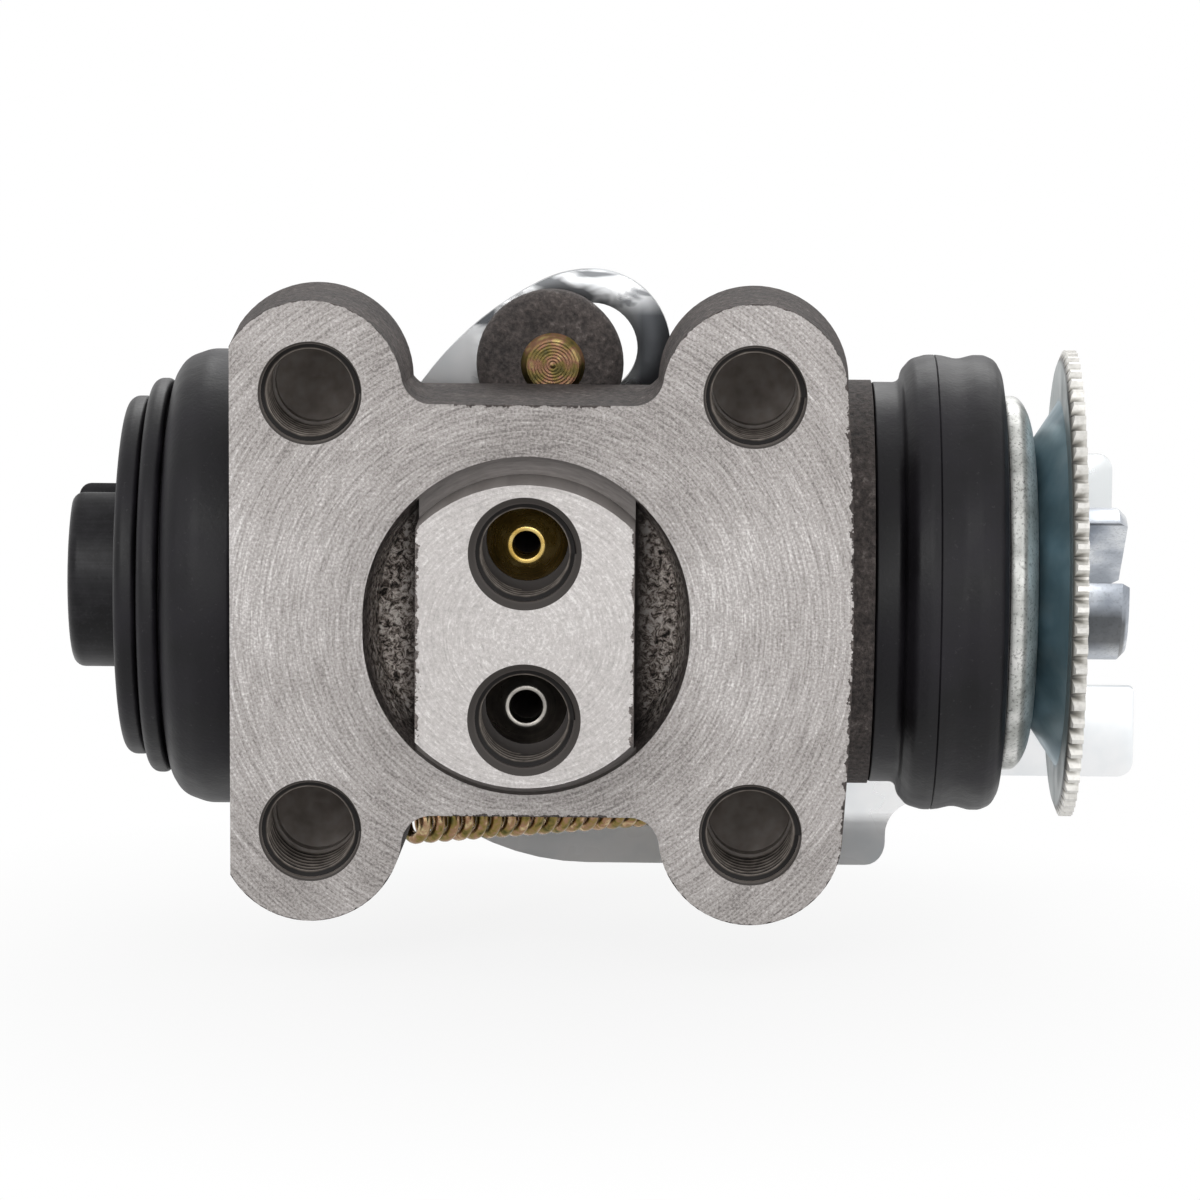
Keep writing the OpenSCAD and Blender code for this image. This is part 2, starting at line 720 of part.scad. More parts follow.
// Stamped expander: a dished disc in the cup's mouth, with a rim that holds the spring
module expander(dir) {
    back = cup_back - cup_wall - seat_gap;
    rim = cup_spring_r + cup_spring_wire + expander_t;
    mouth = back - expander_h;
    floor_x = back - expander_t;
    turned_profile([for (c = [[back, 0], [back, rim], [mouth, rim + expander_t], [mouth, rim],
                              [floor_x, rim - expander_t], [floor_x, 0]]) [dir * c[0], c[1]]]);
}
module left_expander() {
    color("#c2b06a")
        expander(-1);
}
module right_expander() {
    color("#c2b06a")
        expander(1);
}
module cup_spring() {
    end = cup_back - cup_wall - expander_t - cup_spring_wire - 3 * seat_gap;
    turns = 6;
    steps = 18;
    color("#9a9ca0")
        wire([for (i = [0 : turns * steps])
                 let (a = 360 * i / steps, lead = min(max((i / steps - 1) / (turns - 2), 0), 1))
                 [-end + 2 * end * lead,
                  axis_y + cup_spring_r * cos(a), axis_z + cup_spring_r * sin(a)]],
             cup_spring_wire);
}

// Rubber boots, drawn with radius across and X up from the rim's face
module boot_bead(at) {
    translate([groove_r + soft_gap / 2, at - groove_w / 2 + soft_gap / 2])
        square([nose_r - groove_r + soft_gap, groove_w - soft_gap]);
}
module bulge_form(inset, dip, x0, x1) {
    r = bulge_round - inset;
    top = boot_r - bulge_round;
    low = x0 + bulge_round;
    high = x1 - bulge_round;
    for (x = [low, high])
        translate([top, x])
            circle(r);
    translate([0, low])
        square([top + r - dip, high - low]);
    translate([0, low - r])
        square([top, high - low + 2 * r]);
}
// Hollow bulge whose near wall starts at one radius and whose far wall starts at another
module bulge_section(dip, x0, x1, near_r, far_r) {
    difference() {
        bulge_form(0, dip, x0, x1);
        bulge_form(boot_wall, dip, x0, x1);
        square([far_r, x1 + eps]);
        square([near_r, x1 - boot_wall - eps]);
    }
}
module right_boot() {
    bead = boot_bead_r + soft_gap / 2;
    inside = nose_r + soft_gap / 2;
    color("#2b292b")
        translate([right_end, 0, 0])
            turned() {
                translate([inside, soft_gap / 2])
                    square([collar_r - inside, collar_len + boot_wall - soft_gap / 2]);
                boot_bead(right_groove);
                bulge_section(hump_dip, collar_len + fold_flat, boot_len, collar_r - boot_wall, bead);
                translate([bead, boot_len - bead_w])
                    square([bead_w, bead_w]);
            }
}
module rounded_band(r0, r1, x0, w, round) {
    translate([r0, x0])
        square([r1 - r0 - round, w]);
    translate([r0, x0 + round])
        square([r1 - r0, w - 2 * round]);
    for (x = [x0 + round, x0 + w - round])
        translate([r1 - round, x])
            circle(round);
}
module left_boot() {
    hold = tappet_r + soft_gap / 2;
    core = fold_r - 2 * fold_w;
    color("#2b292b")
        translate([-left_end, 0, 0])
            mirror([1, 0, 0])
                turned() {
                    boot_bead(left_groove);
                    bulge_section(0, soft_gap, left_boot_len, nose_r + soft_gap / 2, core);
                    rounded_band(core, fold_r, left_boot_len - eps, fold_w + 2 * eps,
                                 (fold_w - fold_flat) / 2);
                    rounded_band(hold, lip_r, left_boot_len + fold_w, lip_w, lip_w / 2 - fold_flat);
                }
}

// Right piston with its bore for the adjuster, and the ring that holds the boot
module right_piston() {
    step = boot_end - bead_w - soft_gap;
    bore = sleeve_r + run_gap;
    color("#b4b6b8")
        turned_profile([[cup_back, 0], [cup_back, piston_r], [step, piston_r], [step, boot_bead_r],
                        [boot_end, boot_bead_r], [boot_end, retainer_bore_r - seat_gap],
                        [boot_end + retainer_w, retainer_bore_r - seat_gap], [boot_end + retainer_w, bore],
                        [pocket_floor, bore], [pocket_floor, 0]]);
}
module boot_retainer() {
    face_r = hub_r + retainer_lap;
    land = boot_end + retainer_w + retainer_lap;
    front = boot_end + seat_gap;
    color("#c6c9c8")
        turned_profile([[front, retainer_bore_r], [front, retainer_r - retainer_edge],
                        [front + retainer_edge, retainer_r], [boot_end + retainer_w, retainer_r],
                        [retainer_face, face_r], [retainer_face, face_r - retainer_w],
                        [land, retainer_bore_r + retainer_land], [land, retainer_bore_r]]);
}

// Adjuster: threaded sleeve, toothed wheel and forked screw
module adjuster_sleeve() {
    floor_t = 2;
    bore = screw_r + run_gap;
    back = pocket_floor + seat_gap;
    rivet = wheel_hub_x + wheel_t;
    color("#b0b2b5")
        turned_profile([[back, 0], [back, sleeve_r - chamfer], [back + chamfer, sleeve_r],
                        [wheel_hub_x, sleeve_r], [wheel_hub_x, rivet_r], [rivet, rivet_r], [rivet, bore],
                        [pocket_floor + floor_t, bore], [pocket_floor + floor_t, 0]]);
}
module wheel_teeth_outline() {
    pitch = 360 / wheel_teeth;
    root = wheel_r - tooth_h;
    polygon([for (i = [0 : wheel_teeth - 1])
                 for (p = [[root, 0.06], [wheel_r, 0.38], [wheel_r, 0.62], [root, 0.94]])
                     p[0] * [cos((i + p[1]) * pitch), sin((i + p[1]) * pitch)]]);
}
module star_wheel() {
    bevel = 0.7;
    back = wheel_hub_x + wheel_t;
    color("#8fa0a6")
        intersection() {
            turned_profile([[wheel_hub_x, rivet_r + seat_gap], [wheel_hub_x, hub_r], [wheel_rim_x, dish_r],
                            [wheel_rim_x, wheel_r - tooth_h - bevel / 2],
                            [wheel_rim_x + bevel, wheel_r + bevel / 2], [wheel_end, wheel_r + bevel / 2],
                            [wheel_end, dish_r - wheel_wall], [back, hub_r - wheel_wall],
                            [back, rivet_r + seat_gap]]);
            translate([wheel_hub_x - over, axis_y, axis_z])
                rotate([0, 90, 0])
                    linear_extrude(wheel_end - wheel_hub_x + 2 * over)
                        wheel_teeth_outline();
        }
}
module adjuster_screw() {
    head_back = wheel_hub_x + wheel_t + soft_gap;
    tip = pocket_floor + screw_room;
    color("#c3c6ca")
        difference() {
            turned_profile([[tip, 0], [tip, screw_r - chamfer], [tip + chamfer, screw_r],
                            [head_back, screw_r], [head_back, fork_r], [fork_end - chamfer, fork_r],
                            [fork_end, fork_r - chamfer], [fork_end, 0]]);
            shoe_slot(fork_end - fork_slot, fork_end + over, -fork_turn);
        }
}

// Pivot of the lever
module pivot_bolt() {
    head_y = boss_rear + bush_len + washer_t;
    tip_r = pivot_bolt_r * 0.82;
    color("#b39a4e") {
        along_y(pivot_x, pivot_tip_y, pivot_z) {
            cylinder(r1 = tip_r, r2 = pivot_bolt_r, h = pivot_bolt_r - tip_r);
            translate([0, 0, pivot_bolt_r - tip_r])
                cylinder(r = pivot_bolt_r, h = head_y - pivot_tip_y - pivot_bolt_r + tip_r + eps);
        }
        along_y(pivot_x, head_y, pivot_z)
            cylinder(r = head_af / 2 / cos(30), h = head_h, $fn = 6);
    }
}
module pivot_bush() {
    color("#b5b8bb")
        along_y(pivot_x, boss_rear, pivot_z)
            difference() {
                cylinder(r = bush_r, h = bush_len);
                translate([0, 0, -over])
                    cylinder(r = pivot_bolt_r + seat_gap, h = bush_len + 2 * over);
            }
}
module pivot_washer() {
    color("#b39a4e")
        along_y(pivot_x, boss_rear + bush_len, pivot_z)
            difference() {
                cylinder(r = washer_r, h = washer_t);
                translate([0, 0, -over])
                    cylinder(r = pivot_bolt_r + seat_gap, h = washer_t + 2 * over);
            }
}

// Lever: flat eye behind the boss, a neck that bends back over the barrel, a rear plate with two tabs
// and a bent lip
module eye_outline() {
    flank_end = 56;
    step = 3;
    shoulder = [eye_centre[0], eye_centre[1] + eye_r - shoulder_r];
    flank = shoulder + (shoulder_r - flank_r) * [-sin(shoulder_end), cos(shoulder_end)];
    intersection() {
        union() {
            translate(eye_centre)
                circle(eye_r);
            polygon(concat([[eye_centre[0], eye_low]],
                           [for (a = [0 : step : shoulder_end - step])
                               shoulder + shoulder_r * [-sin(a), cos(a)]],
                           [for (a = [shoulder_end : step : flank_end]) flank + flank_r * [-sin(a), cos(a)]],
                           [[neck_left, eye_low]]));
        }
        translate([neck_left, eye_low])
            square(6 * eye_r);
    }
}
module lever_outline() {
    right_low = fork_end + low_tab_out;
    right_up = fork_end + up_tab_out;
    notch = wheel_hub_x;
    lip_low = lip_top - lip_drop;
    neck_end = eye_low + lever_t / 4;
    web_left = neck_right + web_run;
    polygon(softened([[neck_left, neck_end, 0], [neck_left, plate_turn_z, plate_curve],
                      [lip_left, lip_low + lip_rise, lip_end_r], [lip_left + lip_run, lip_low, lip_curve],
                      [lip_right, lip_low, lip_corner_r], [lip_right, low_tab_bottom - tab_fall, tab_inner_r],
                      [lip_right + tab_run, low_tab_bottom, tab_curve],
                      [right_low, low_tab_bottom, low_tab_r],
                      [right_low, low_tab_top, low_tab_r / 3], [notch, low_tab_top, notch_r],
                      [notch, up_tab_bottom, notch_r], [right_up, up_tab_bottom, up_tab_r / 2],
                      [right_up, up_tab_top, up_tab_r], [notch - tab_curve, up_tab_top, arm_curve],
                      [lip_right, waist_z, arm_curve], [web_left, waist_z, web_run],
                      [neck_right, waist_z + web_rise, arm_curve], [neck_right, neck_end, 0]]));
}
// A length of the bent sheet between two places along X, from its middle line in depth and height
module bent_sheet(x0, x1, line, r) {
    translate([x0, 0, 0])
        rotate([90, 0, 90])
            linear_extrude(x1 - x0)
                polygon(thickened(bent_path(line, r), lever_t));
}
module lever_blank() {
    eye_mid = eye_y + lever_t / 2;
    rear_mid = lever_y + lever_t / 2;
    lip_z = lip_top - bend_r / 2;
    lap = 6;
    bent_sheet(neck_left - over, neck_right,
               [[eye_mid, eye_centre[1] + 2 * eye_r], [eye_mid, neck_top],
                [rear_mid, neck_foot], [rear_mid, rear_top - lap]], neck_bend_r);
    bent_sheet(neck_left - over, fork_end + low_tab_out + over,
               [[rear_mid, rear_top], [rear_mid, lip_z], [rear_mid - lip_drop, lip_z - lip_drop]], bend_r);
    translate([neck_right - over, eye_y, eye_low])
        cube([4 * eye_r, lever_t, 4 * eye_r]);
}
// Pressed pawl on the upper tab, which faces the teeth
module pawl() {
    reach = lever_gap - pawl_gap;
    back = lever_t / 2;
    translate([wheel_rim_x, lever_y, up_tab_bottom + notch_r])
        rotate([0, 90, 0])
            linear_extrude(wheel_t)
                polygon([[lever_t, 0], [pawl_gap, -reach], [-pawl_gap, -reach], [-2 * lever_t, 0],
                         [-2 * lever_t, back], [lever_t, back]]);
}
module adjuster_lever() {
    color("#cfd3d4")
        difference() {
            union() {
                intersection() {
                    lever_blank();
                    sheet(0, lever_y + 3 * lever_t)
                        union() {
                            eye_outline();
                            lever_outline();
                        }
                }
                pawl();
            }
            for (dx = [0, eye_slot])
                along_y(pivot_x + dx, eye_y - over, eye_centre[1])
                    cylinder(r = slot_r, h = lever_t + 2 * over);
            translate([pivot_x, eye_y - over, eye_centre[1] - slot_r])
                cube([eye_slot, lever_t + 2 * over, 2 * slot_r]);
            along_y(spring_hole_x, lever_y - over, spring_hole_z)
                cylinder(r = 2.2 * spring_wire, h = lever_t + 2 * over);
        }
}

// Lever spring with its hooks, and the pin in the back of the flange
module spring_pin() {
    color("#b5b8bb")
        along_y(pin_at[0], flange_t - pin_out, pin_at[1])
            cylinder(r = pin_r, h = 2 * pin_out + over);
}
module lever_spring() {
    hook_r = pin_r + spring_wire + hook_gap;
    hook_y = flange_t + pin_out - 2 * spring_wire;
    tail_z = spring_hole_z + spring_wire / 3;
    behind = lever_y + lever_t + 1.5 * spring_wire;
    start = [pin_at[0] + 5 * spring_wire, hook_y + 1.5 * spring_r, pin_at[1] + pin_r];
    end = [spring_hole_x - 4 * spring_wire, lever_y - 1.4 * spring_r, spring_hole_z];
    along = unit(end - start);
    out = unit(cross(along, [0, 0, 1]));
    up = cross(out, along);
    steps = 14;
    hook = [for (a = [-150 : 30 : 60]) [pin_at[0] - hook_r * cos(a), hook_y, pin_at[1] + hook_r * sin(a)]];
    coil = [for (i = [0 : spring_turns * steps])
               start + (end - start) * i / (spring_turns * steps)
               + spring_r * (up * cos(360 * i / steps) + out * sin(360 * i / steps))];
    tail = [[spring_hole_x, lever_y - spring_wire, tail_z], [spring_hole_x, lever_y + lever_t, tail_z],
            [spring_hole_x + spring_wire / 2, behind, tail_z + spring_wire],
            [spring_hole_x + spring_wire / 2, behind, tail_z + 4 * spring_wire]];
    color("#a8924e")
        wire(concat(hook, coil, tail), spring_wire, 6);
}

cylinder_body();
inlet_seat();
outlet_seat();
left_piston();
left_tappet();
left_cup();
left_expander();
left_boot();
cup_spring();
right_piston();
right_cup();
right_expander();
right_boot();
boot_retainer();
adjuster_sleeve();
star_wheel();
adjuster_screw();
pivot_bolt();
pivot_bush();
pivot_washer();
adjuster_lever();
spring_pin();
lever_spring();
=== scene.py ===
import bpy
import bmesh
import json
import math
from mathutils import Matrix, Vector


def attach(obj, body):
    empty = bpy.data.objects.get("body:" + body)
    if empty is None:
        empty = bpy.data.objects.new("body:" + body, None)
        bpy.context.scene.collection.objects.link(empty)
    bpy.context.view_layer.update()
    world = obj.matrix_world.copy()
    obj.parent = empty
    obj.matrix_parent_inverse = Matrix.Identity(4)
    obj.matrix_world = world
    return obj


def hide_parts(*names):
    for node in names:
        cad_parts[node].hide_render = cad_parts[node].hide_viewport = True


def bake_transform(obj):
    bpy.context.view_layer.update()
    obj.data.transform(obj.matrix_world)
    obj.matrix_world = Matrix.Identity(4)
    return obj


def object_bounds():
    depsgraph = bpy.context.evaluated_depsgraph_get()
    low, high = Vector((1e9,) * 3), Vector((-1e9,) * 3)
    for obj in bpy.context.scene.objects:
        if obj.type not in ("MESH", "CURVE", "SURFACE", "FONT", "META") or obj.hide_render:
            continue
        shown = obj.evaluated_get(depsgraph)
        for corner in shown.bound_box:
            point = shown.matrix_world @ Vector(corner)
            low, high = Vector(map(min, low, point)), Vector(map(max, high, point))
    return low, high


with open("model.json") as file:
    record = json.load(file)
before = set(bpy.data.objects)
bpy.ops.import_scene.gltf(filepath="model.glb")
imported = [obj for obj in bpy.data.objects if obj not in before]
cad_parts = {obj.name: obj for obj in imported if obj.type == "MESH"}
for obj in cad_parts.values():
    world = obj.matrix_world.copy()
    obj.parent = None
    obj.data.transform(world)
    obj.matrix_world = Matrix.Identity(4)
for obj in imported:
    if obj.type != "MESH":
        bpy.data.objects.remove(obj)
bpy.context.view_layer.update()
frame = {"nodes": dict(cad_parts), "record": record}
nodes = frame["nodes"]
scene = bpy.context.scene
scene.view_settings.view_transform = "Standard"
mm = 0.001
boreY, boreZ = 37.5, -1.2  # bore axis of the casting, mm
pilotX, pilotZ = -0.6, -1.4  # centre of the pilot spigot
pilotReach = 21.2  # radius round it that holds the groove and the pockets
portZ = (-11.55, 8.75)  # heights of the two ports
boltAt = 27  # half the pitch of the bolt holes
coilSteps = 36  # points to a turn of a spring


def hexColour(code):
    parts = [int(code[i:i + 2], 16) / 255 for i in (1, 3, 5)]
    return tuple(c / 12.92 if c <= 0.04045 else ((c + 0.055) / 1.055) ** 2.4 for c in parts) + (1.0,)


# adds one node: an input is a link, a hex colour or a plain value, stops fill a ramp,
# and out picks the socket that is given back
def put(tree, kind, inputs=None, out=0, stops=None, **settings):
    node = tree.nodes.new(kind if kind.startswith(("GeometryNode", "NodeGroup")) else "ShaderNode" + kind)
    for key, value in settings.items():
        setattr(node, key, value)
    for key, value in (inputs or {}).items():
        if isinstance(value, bpy.types.NodeSocket):
            tree.links.new(value, node.inputs[key])
        else:
            node.inputs[key].default_value = hexColour(value) if isinstance(value, str) else value
    for i, (at, code) in enumerate(stops or []):
        element = node.color_ramp.elements[i] if i < 2 else node.color_ramp.elements.new(at)
        element.position = at
        element.color = hexColour(code)
    return node if out is None else node.outputs[out]


# pattern scales in the finishes are 1000 over the size in mm
def newFinish(name):
    material = bpy.data.materials.new(name)
    material.use_nodes = True
    tree = material.node_tree
    tree.nodes.clear()
    return material, tree, put(tree, "TexCoord", out="Object")


# closes a finish with its shader
def dressFinish(tree, inputs):
    put(tree, "OutputMaterial", {"Surface": put(tree, "BsdfPrincipled", inputs)}, out=None)


# x, y and z of a place in mm
def placeMm(tree, where):
    scaled = put(tree, "VectorMath", {0: where, 1: (1000, 1000, 1000)}, operation="MULTIPLY")
    return put(tree, "SeparateXYZ", {0: scaled}, out=None).outputs[:3]


# distance in mm from a line along one axis, with the offset from it
def radiusFrom(tree, where, centre, skip):
    keep = [0.0 if i == skip else 1000.0 for i in range(3)]
    shift = [-c * (i != skip) for i, c in enumerate(centre)]
    flat = put(tree, "VectorMath", {0: where, 1: keep, 2: shift}, operation="MULTIPLY_ADD")
    return put(tree, "VectorMath", {0: flat}, out="Value", operation="LENGTH"), flat


# distance in mm from the nearest bolt hole's axis, with the offset from it
def boltDistance(tree, where):
    flat = put(tree, "VectorMath", {0: where, 1: (1000, 0, 1000)}, operation="MULTIPLY")
    quarter = put(tree, "VectorMath", {0: flat}, operation="ABSOLUTE")
    offset = put(tree, "VectorMath", {0: quarter, 1: (boltAt, 0, boltAt)}, operation="SUBTRACT")
    return put(tree, "VectorMath", {0: offset}, out="Value", operation="LENGTH"), offset


# mask that needs every one of its fades, each from no share at one value to full share at another
def fadeOver(tree, fades):
    mask = None
    for value, none, full in fades:
        fade = put(tree, "MapRange", {"Value": value, "From Min": none, "From Max": full})
        mask = fade if mask is None else put(tree, "Math", {0: mask, 1: fade}, operation="MULTIPLY")
    return mask


# depths and outlines of the casting that its finish follows, mm
casting = {
    "faceDeep": 1.0, "spigotDeep": -4.0, "wallDeep": 2.3, "holeDeep": 20.0, "pocketDeep": 15.0, "portRise": 7.6,
    "boltMouth": 6.31, "portMouth": 6.86, "lobeR": 11.3, "lobeFrom": 5.0, "crownR": 365.0, "crownX": -325.7,
    "waistTop": 25.8, "waistLow": 25.0, "waistHalf": 9.5, "flat": 13.2, "flatEdge": 13.55, "corner": (13.4, 16.4),
    "farOff": 99.0,  # takes an edge out of play where it doesn't apply
}


# Grey cast iron: sand-cast skin is dark, brown-grey and grainy; faced surfaces are pale, with ring marks and
# bright flecks; drilled and tapped holes stay dull grey
def castIronFinish(size):
    material, tree, where = newFinish("grey cast iron, sand cast and faced")
    x, y, z = placeMm(tree, where)
    facing = put(tree, "SeparateXYZ", {0: put(tree, "TexCoord", out="Normal")}, out=None)
    pilot, fromPilot = radiusFrom(tree, where, (pilotX, 0, pilotZ), 1)
    inPilot = put(tree, "Math", {0: pilot, 1: pilotReach}, operation="LESS_THAN")
    fromAxis = put(tree, "Math", {0: x, 1: pilotX}, operation="SUBTRACT")
    fromAxis = put(tree, "Math", {0: fromAxis}, operation="ABSOLUTE")
    # faced surfaces look out of the flange and lie above the groove's floor
    face = put(tree, "Math", {0: facing.outputs[1], 1: -0.85}, operation="LESS_THAN")
    shallow = put(tree, "Math", {0: y, 1: size["faceDeep"]}, operation="LESS_THAN")
    face = put(tree, "Math", {0: face, 1: shallow}, operation="MULTIPLY")
    raised = put(tree, "Math", {0: y, 1: size["spigotDeep"]}, operation="LESS_THAN")
    spigot = put(tree, "Math", {0: face, 1: raised}, operation="MULTIPLY")
    offSpigot = put(tree, "Math", {0: 1.0, 1: spigot}, operation="SUBTRACT")
    # turned walls are those round the pilot and its groove, without the spigot's flats
    sideways = put(tree, "Math", {0: facing.outputs[0]}, operation="ABSOLUTE")
    wall = inPilot
    for value, limit in ((y, size["wallDeep"]), (fromAxis, size["flatEdge"]), (sideways, 0.97)):
        within = put(tree, "Math", {0: value, 1: limit}, operation="LESS_THAN")
        wall = put(tree, "Math", {0: wall, 1: within}, operation="MULTIPLY")
    mouths = [(sx * boltAt, sz * boltAt, size["boltMouth"]) for sx in (-1, 1) for sz in (-1, 1)]
    mouths += [(pilotX, portAt, size["portMouth"]) for portAt in portZ]
    holes = None
    for holeX, holeZ, r in mouths:
        near = radiusFrom(tree, where, (holeX, 0, holeZ), 1)[0]
        near = put(tree, "Math", {0: near, 1: r}, operation="LESS_THAN")
        holes = near if holes is None else put(tree, "Math", {0: holes, 1: near}, operation="MAXIMUM")
    drilled = put(tree, "Math", {0: y, 1: size["holeDeep"]}, operation="LESS_THAN")
    drilled = put(tree, "Math", {0: holes, 1: drilled}, operation="MULTIPLY")
    # the faced edge breaks out unevenly where it meets the cast skin: a noise against the nearest edge's distance
    fromBolt, lobe = boltDistance(tree, where)
    lobeEdge = put(tree, "Math", {0: size["lobeR"], 1: fromBolt}, operation="SUBTRACT")
    lobeEdge = put(tree, "Math", {0: lobeEdge, 1: 2.4}, operation="MULTIPLY")
    inner = put(tree, "SeparateXYZ", {0: lobe}, out=2)
    inner = put(tree, "Math", {0: inner, 1: size["lobeFrom"]}, operation="LESS_THAN")
    lobeEdge = put(tree, "Math", {0: inner, 1: size["farOff"], 2: lobeEdge}, operation="MULTIPLY_ADD")
    crown = radiusFrom(tree, where, (size["crownX"], 0, 0), 1)[0]
    crown = put(tree, "Math", {0: size["crownR"], 1: crown}, operation="SUBTRACT")
    crown = put(tree, "Math", {0: crown, 1: 0.75}, operation="MULTIPLY")
    waist = put(tree, "Math", {0: size["waistTop"], 1: z}, operation="SUBTRACT")
    waistLow = put(tree, "Math", {0: size["waistLow"], 1: z}, operation="ADD")
    waist = put(tree, "Math", {0: waist, 1: waistLow}, operation="MINIMUM")
    beside = put(tree, "Math", {0: x}, operation="ABSOLUTE")
    beside = put(tree, "Math", {0: beside, 1: size["waistHalf"]}, operation="GREATER_THAN")
    waist = put(tree, "Math", {0: beside, 1: size["farOff"], 2: waist}, operation="MULTIPLY_ADD")
    flat = put(tree, "Math", {0: size["flat"], 1: fromAxis}, operation="SUBTRACT")
    flat = put(tree, "Math", {0: flat, 1: 0.7}, operation="MULTIPLY")
    flat = put(tree, "Math", {0: offSpigot, 1: size["farOff"], 2: flat}, operation="MULTIPLY_ADD")
    edge = lobeEdge
    for other in (crown, waist, flat):
        edge = put(tree, "Math", {0: edge, 1: other}, operation="MINIMUM")
    chips = put(tree, "TexNoise", {"Vector": where, "Scale": 1000 / 1.3, "Detail": 3.0, "Roughness": 0.7})
    chips = put(tree, "MapRange", {
        "Value": chips, "From Min": 0.42, "From Max": 0.75, "To Min": 0.02, "To Max": 0.6})
    broken = put(tree, "Math", {0: edge, 1: chips}, operation="LESS_THAN")
    broken = put(tree, "Math", {0: face, 1: broken}, operation="MULTIPLY")
    cut = put(tree, "Math", {0: face, 1: broken}, operation="SUBTRACT")
    # cast skin: sand grains, drawn coarse enough to show, on slow blotches
    grain = put(tree, "TexNoise", {"Vector": where, "Scale": 1000 / 0.75, "Detail": 4.0, "Roughness": 0.7})
    blotch = put(tree, "TexNoise", {"Vector": where, "Scale": 1000 / 7.0, "Detail": 2.0})
    lumps = put(tree, "TexNoise", {"Vector": where, "Scale": 1000 / 2.2, "Detail": 2.0})
    skin = put(tree, "Math", {0: blotch, 1: 0.28}, operation="MULTIPLY")
    skin = put(tree, "Math", {0: grain, 1: 0.72, 2: skin}, operation="MULTIPLY_ADD")
    skinColour = put(tree, "ValToRGB", {"Fac": skin}, stops=[
        (0.34, "#1f1b1a"), (0.46, "#423c3a"), (0.58, "#5b5350"), (0.7, "#8d8581")])
    pocket = put(tree, "Math", {0: y, 1: size["pocketDeep"]}, operation="LESS_THAN")
    pocket = put(tree, "Math", {0: inPilot, 1: pocket}, operation="MULTIPLY")
    # pockets are coarse and full of bright grains, with painted shade in the corner by the spigot;
    # the spigot's flats are calmer than the floors
    rock = put(tree, "TexNoise", {
        "Vector": where, "Scale": 1000 / 0.8, "Detail": 6.0, "Roughness": 0.8, "Distortion": 0.8})
    rockColour = put(tree, "ValToRGB", {"Fac": rock}, stops=[
        (0.41, "#140f0c"), (0.48, "#82766e"), (0.53, "#d8ccc3"), (0.59, "#fff8f2")])
    # painted shade: the pocket floor darkens towards the spigot's flat, where shade falls
    corner = fadeOver(tree, [(fromAxis, *size["corner"])])
    rockColour = put(tree, "Mix", {"Factor": corner, 6: "#2a2320", 7: rockColour}, out=2, data_type="RGBA")
    flatColour = put(tree, "ValToRGB", {"Fac": rock}, stops=[(0.36, "#2c2725"), (0.5, "#5d5552"), (0.64, "#8b837e")])
    onFloor = fadeOver(tree, [(y, 2.0, 5.0)])
    rockColour = put(tree, "Mix", {"Factor": onFloor, 6: flatColour, 7: rockColour}, out=2, data_type="RGBA")
    skinColour = put(tree, "Mix", {"Factor": pocket, 6: skinColour, 7: rockColour}, out=2, data_type="RGBA")
    # ring marks of the facing tool: short arcs about 0.3 mm apart round the pilot
    heading = put(tree, "VectorMath", {0: fromPilot}, operation="NORMALIZE")
    outwards = put(tree, "CombineXYZ", {1: put(tree, "Math", {0: pilot, 1: 3.1}, operation="MULTIPLY")})
    arcAt = put(tree, "VectorMath", {0: heading, 1: (7, 7, 7)}, operation="MULTIPLY")
    arcAt = put(tree, "VectorMath", {0: arcAt, 1: outwards}, operation="ADD")
    arcs = put(tree, "TexNoise", {"Vector": arcAt, "Scale": 1.0, "Detail": 3.0, "Roughness": 0.65})
    fleck = put(tree, "TexNoise", {"Vector": where, "Scale": 1000 / 0.34, "Detail": 2.0, "Roughness": 0.7})
    drift = put(tree, "TexNoise", {"Vector": where, "Scale": 1000 / 14.0, "Detail": 2.0})
    drift = put(tree, "MapRange", {
        "Value": drift, "From Min": 0.3, "From Max": 0.7, "To Min": -0.04, "To Max": 0.04})
    tone = put(tree, "Math", {0: fleck, 1: 0.55}, operation="MULTIPLY")
    tone = put(tree, "Math", {0: arcs, 1: 0.45, 2: tone}, operation="MULTIPLY_ADD")
    tone = put(tree, "Math", {0: tone, 1: drift}, operation="ADD")
    rings = put(tree, "CombineXYZ", {0: put(tree, "Math", {0: pilot, 1: 1.5}, operation="MULTIPLY")})
    rings = put(tree, "TexNoise", {"Vector": rings, "Scale": 1.0, "Detail": 4.0, "Roughness": 0.7})
    rings = put(tree, "Math", {0: rings, 1: 0.5}, operation="SUBTRACT")
    ringShare = put(tree, "MapRange", {"Value": spigot, "To Min": 0.2, "To Max": 0.42})
    tone = put(tree, "Math", {0: rings, 1: ringShare, 2: tone}, operation="MULTIPLY_ADD")
    # the marks catch less light above and below the pilot than beside it
    sector = put(tree, "Math", {0: put(tree, "SeparateXYZ", {0: heading}), 1: 2.0}, operation="POWER")
    sector = put(tree, "MapRange", {"Value": sector, "To Min": -0.07, "To Max": 0.01})
    tone = put(tree, "Math", {0: sector, 1: offSpigot, 2: tone}, operation="MULTIPLY_ADD")
    faceColour = put(tree, "ValToRGB", {"Fac": tone}, stops=[
        (0.32, "#716c6a"), (0.44, "#9d9895"), (0.54, "#b3aeac"), (0.68, "#e2dfdd")])
    bright = put(tree, "Math", {0: spigot, 1: 0.42}, operation="MULTIPLY")
    faceColour = put(tree, "Mix", {"Factor": bright, 6: faceColour, 7: "#d6d2d0"}, out=2, data_type="RGBA")
    # painted shade: the turned walls get a darker grey than the faced surfaces, for the less light that falls on them
    shadedWallColour = put(tree, "ValToRGB", {"Fac": arcs}, stops=[(0.3, "#6b6562"), (0.7, "#86807d")])
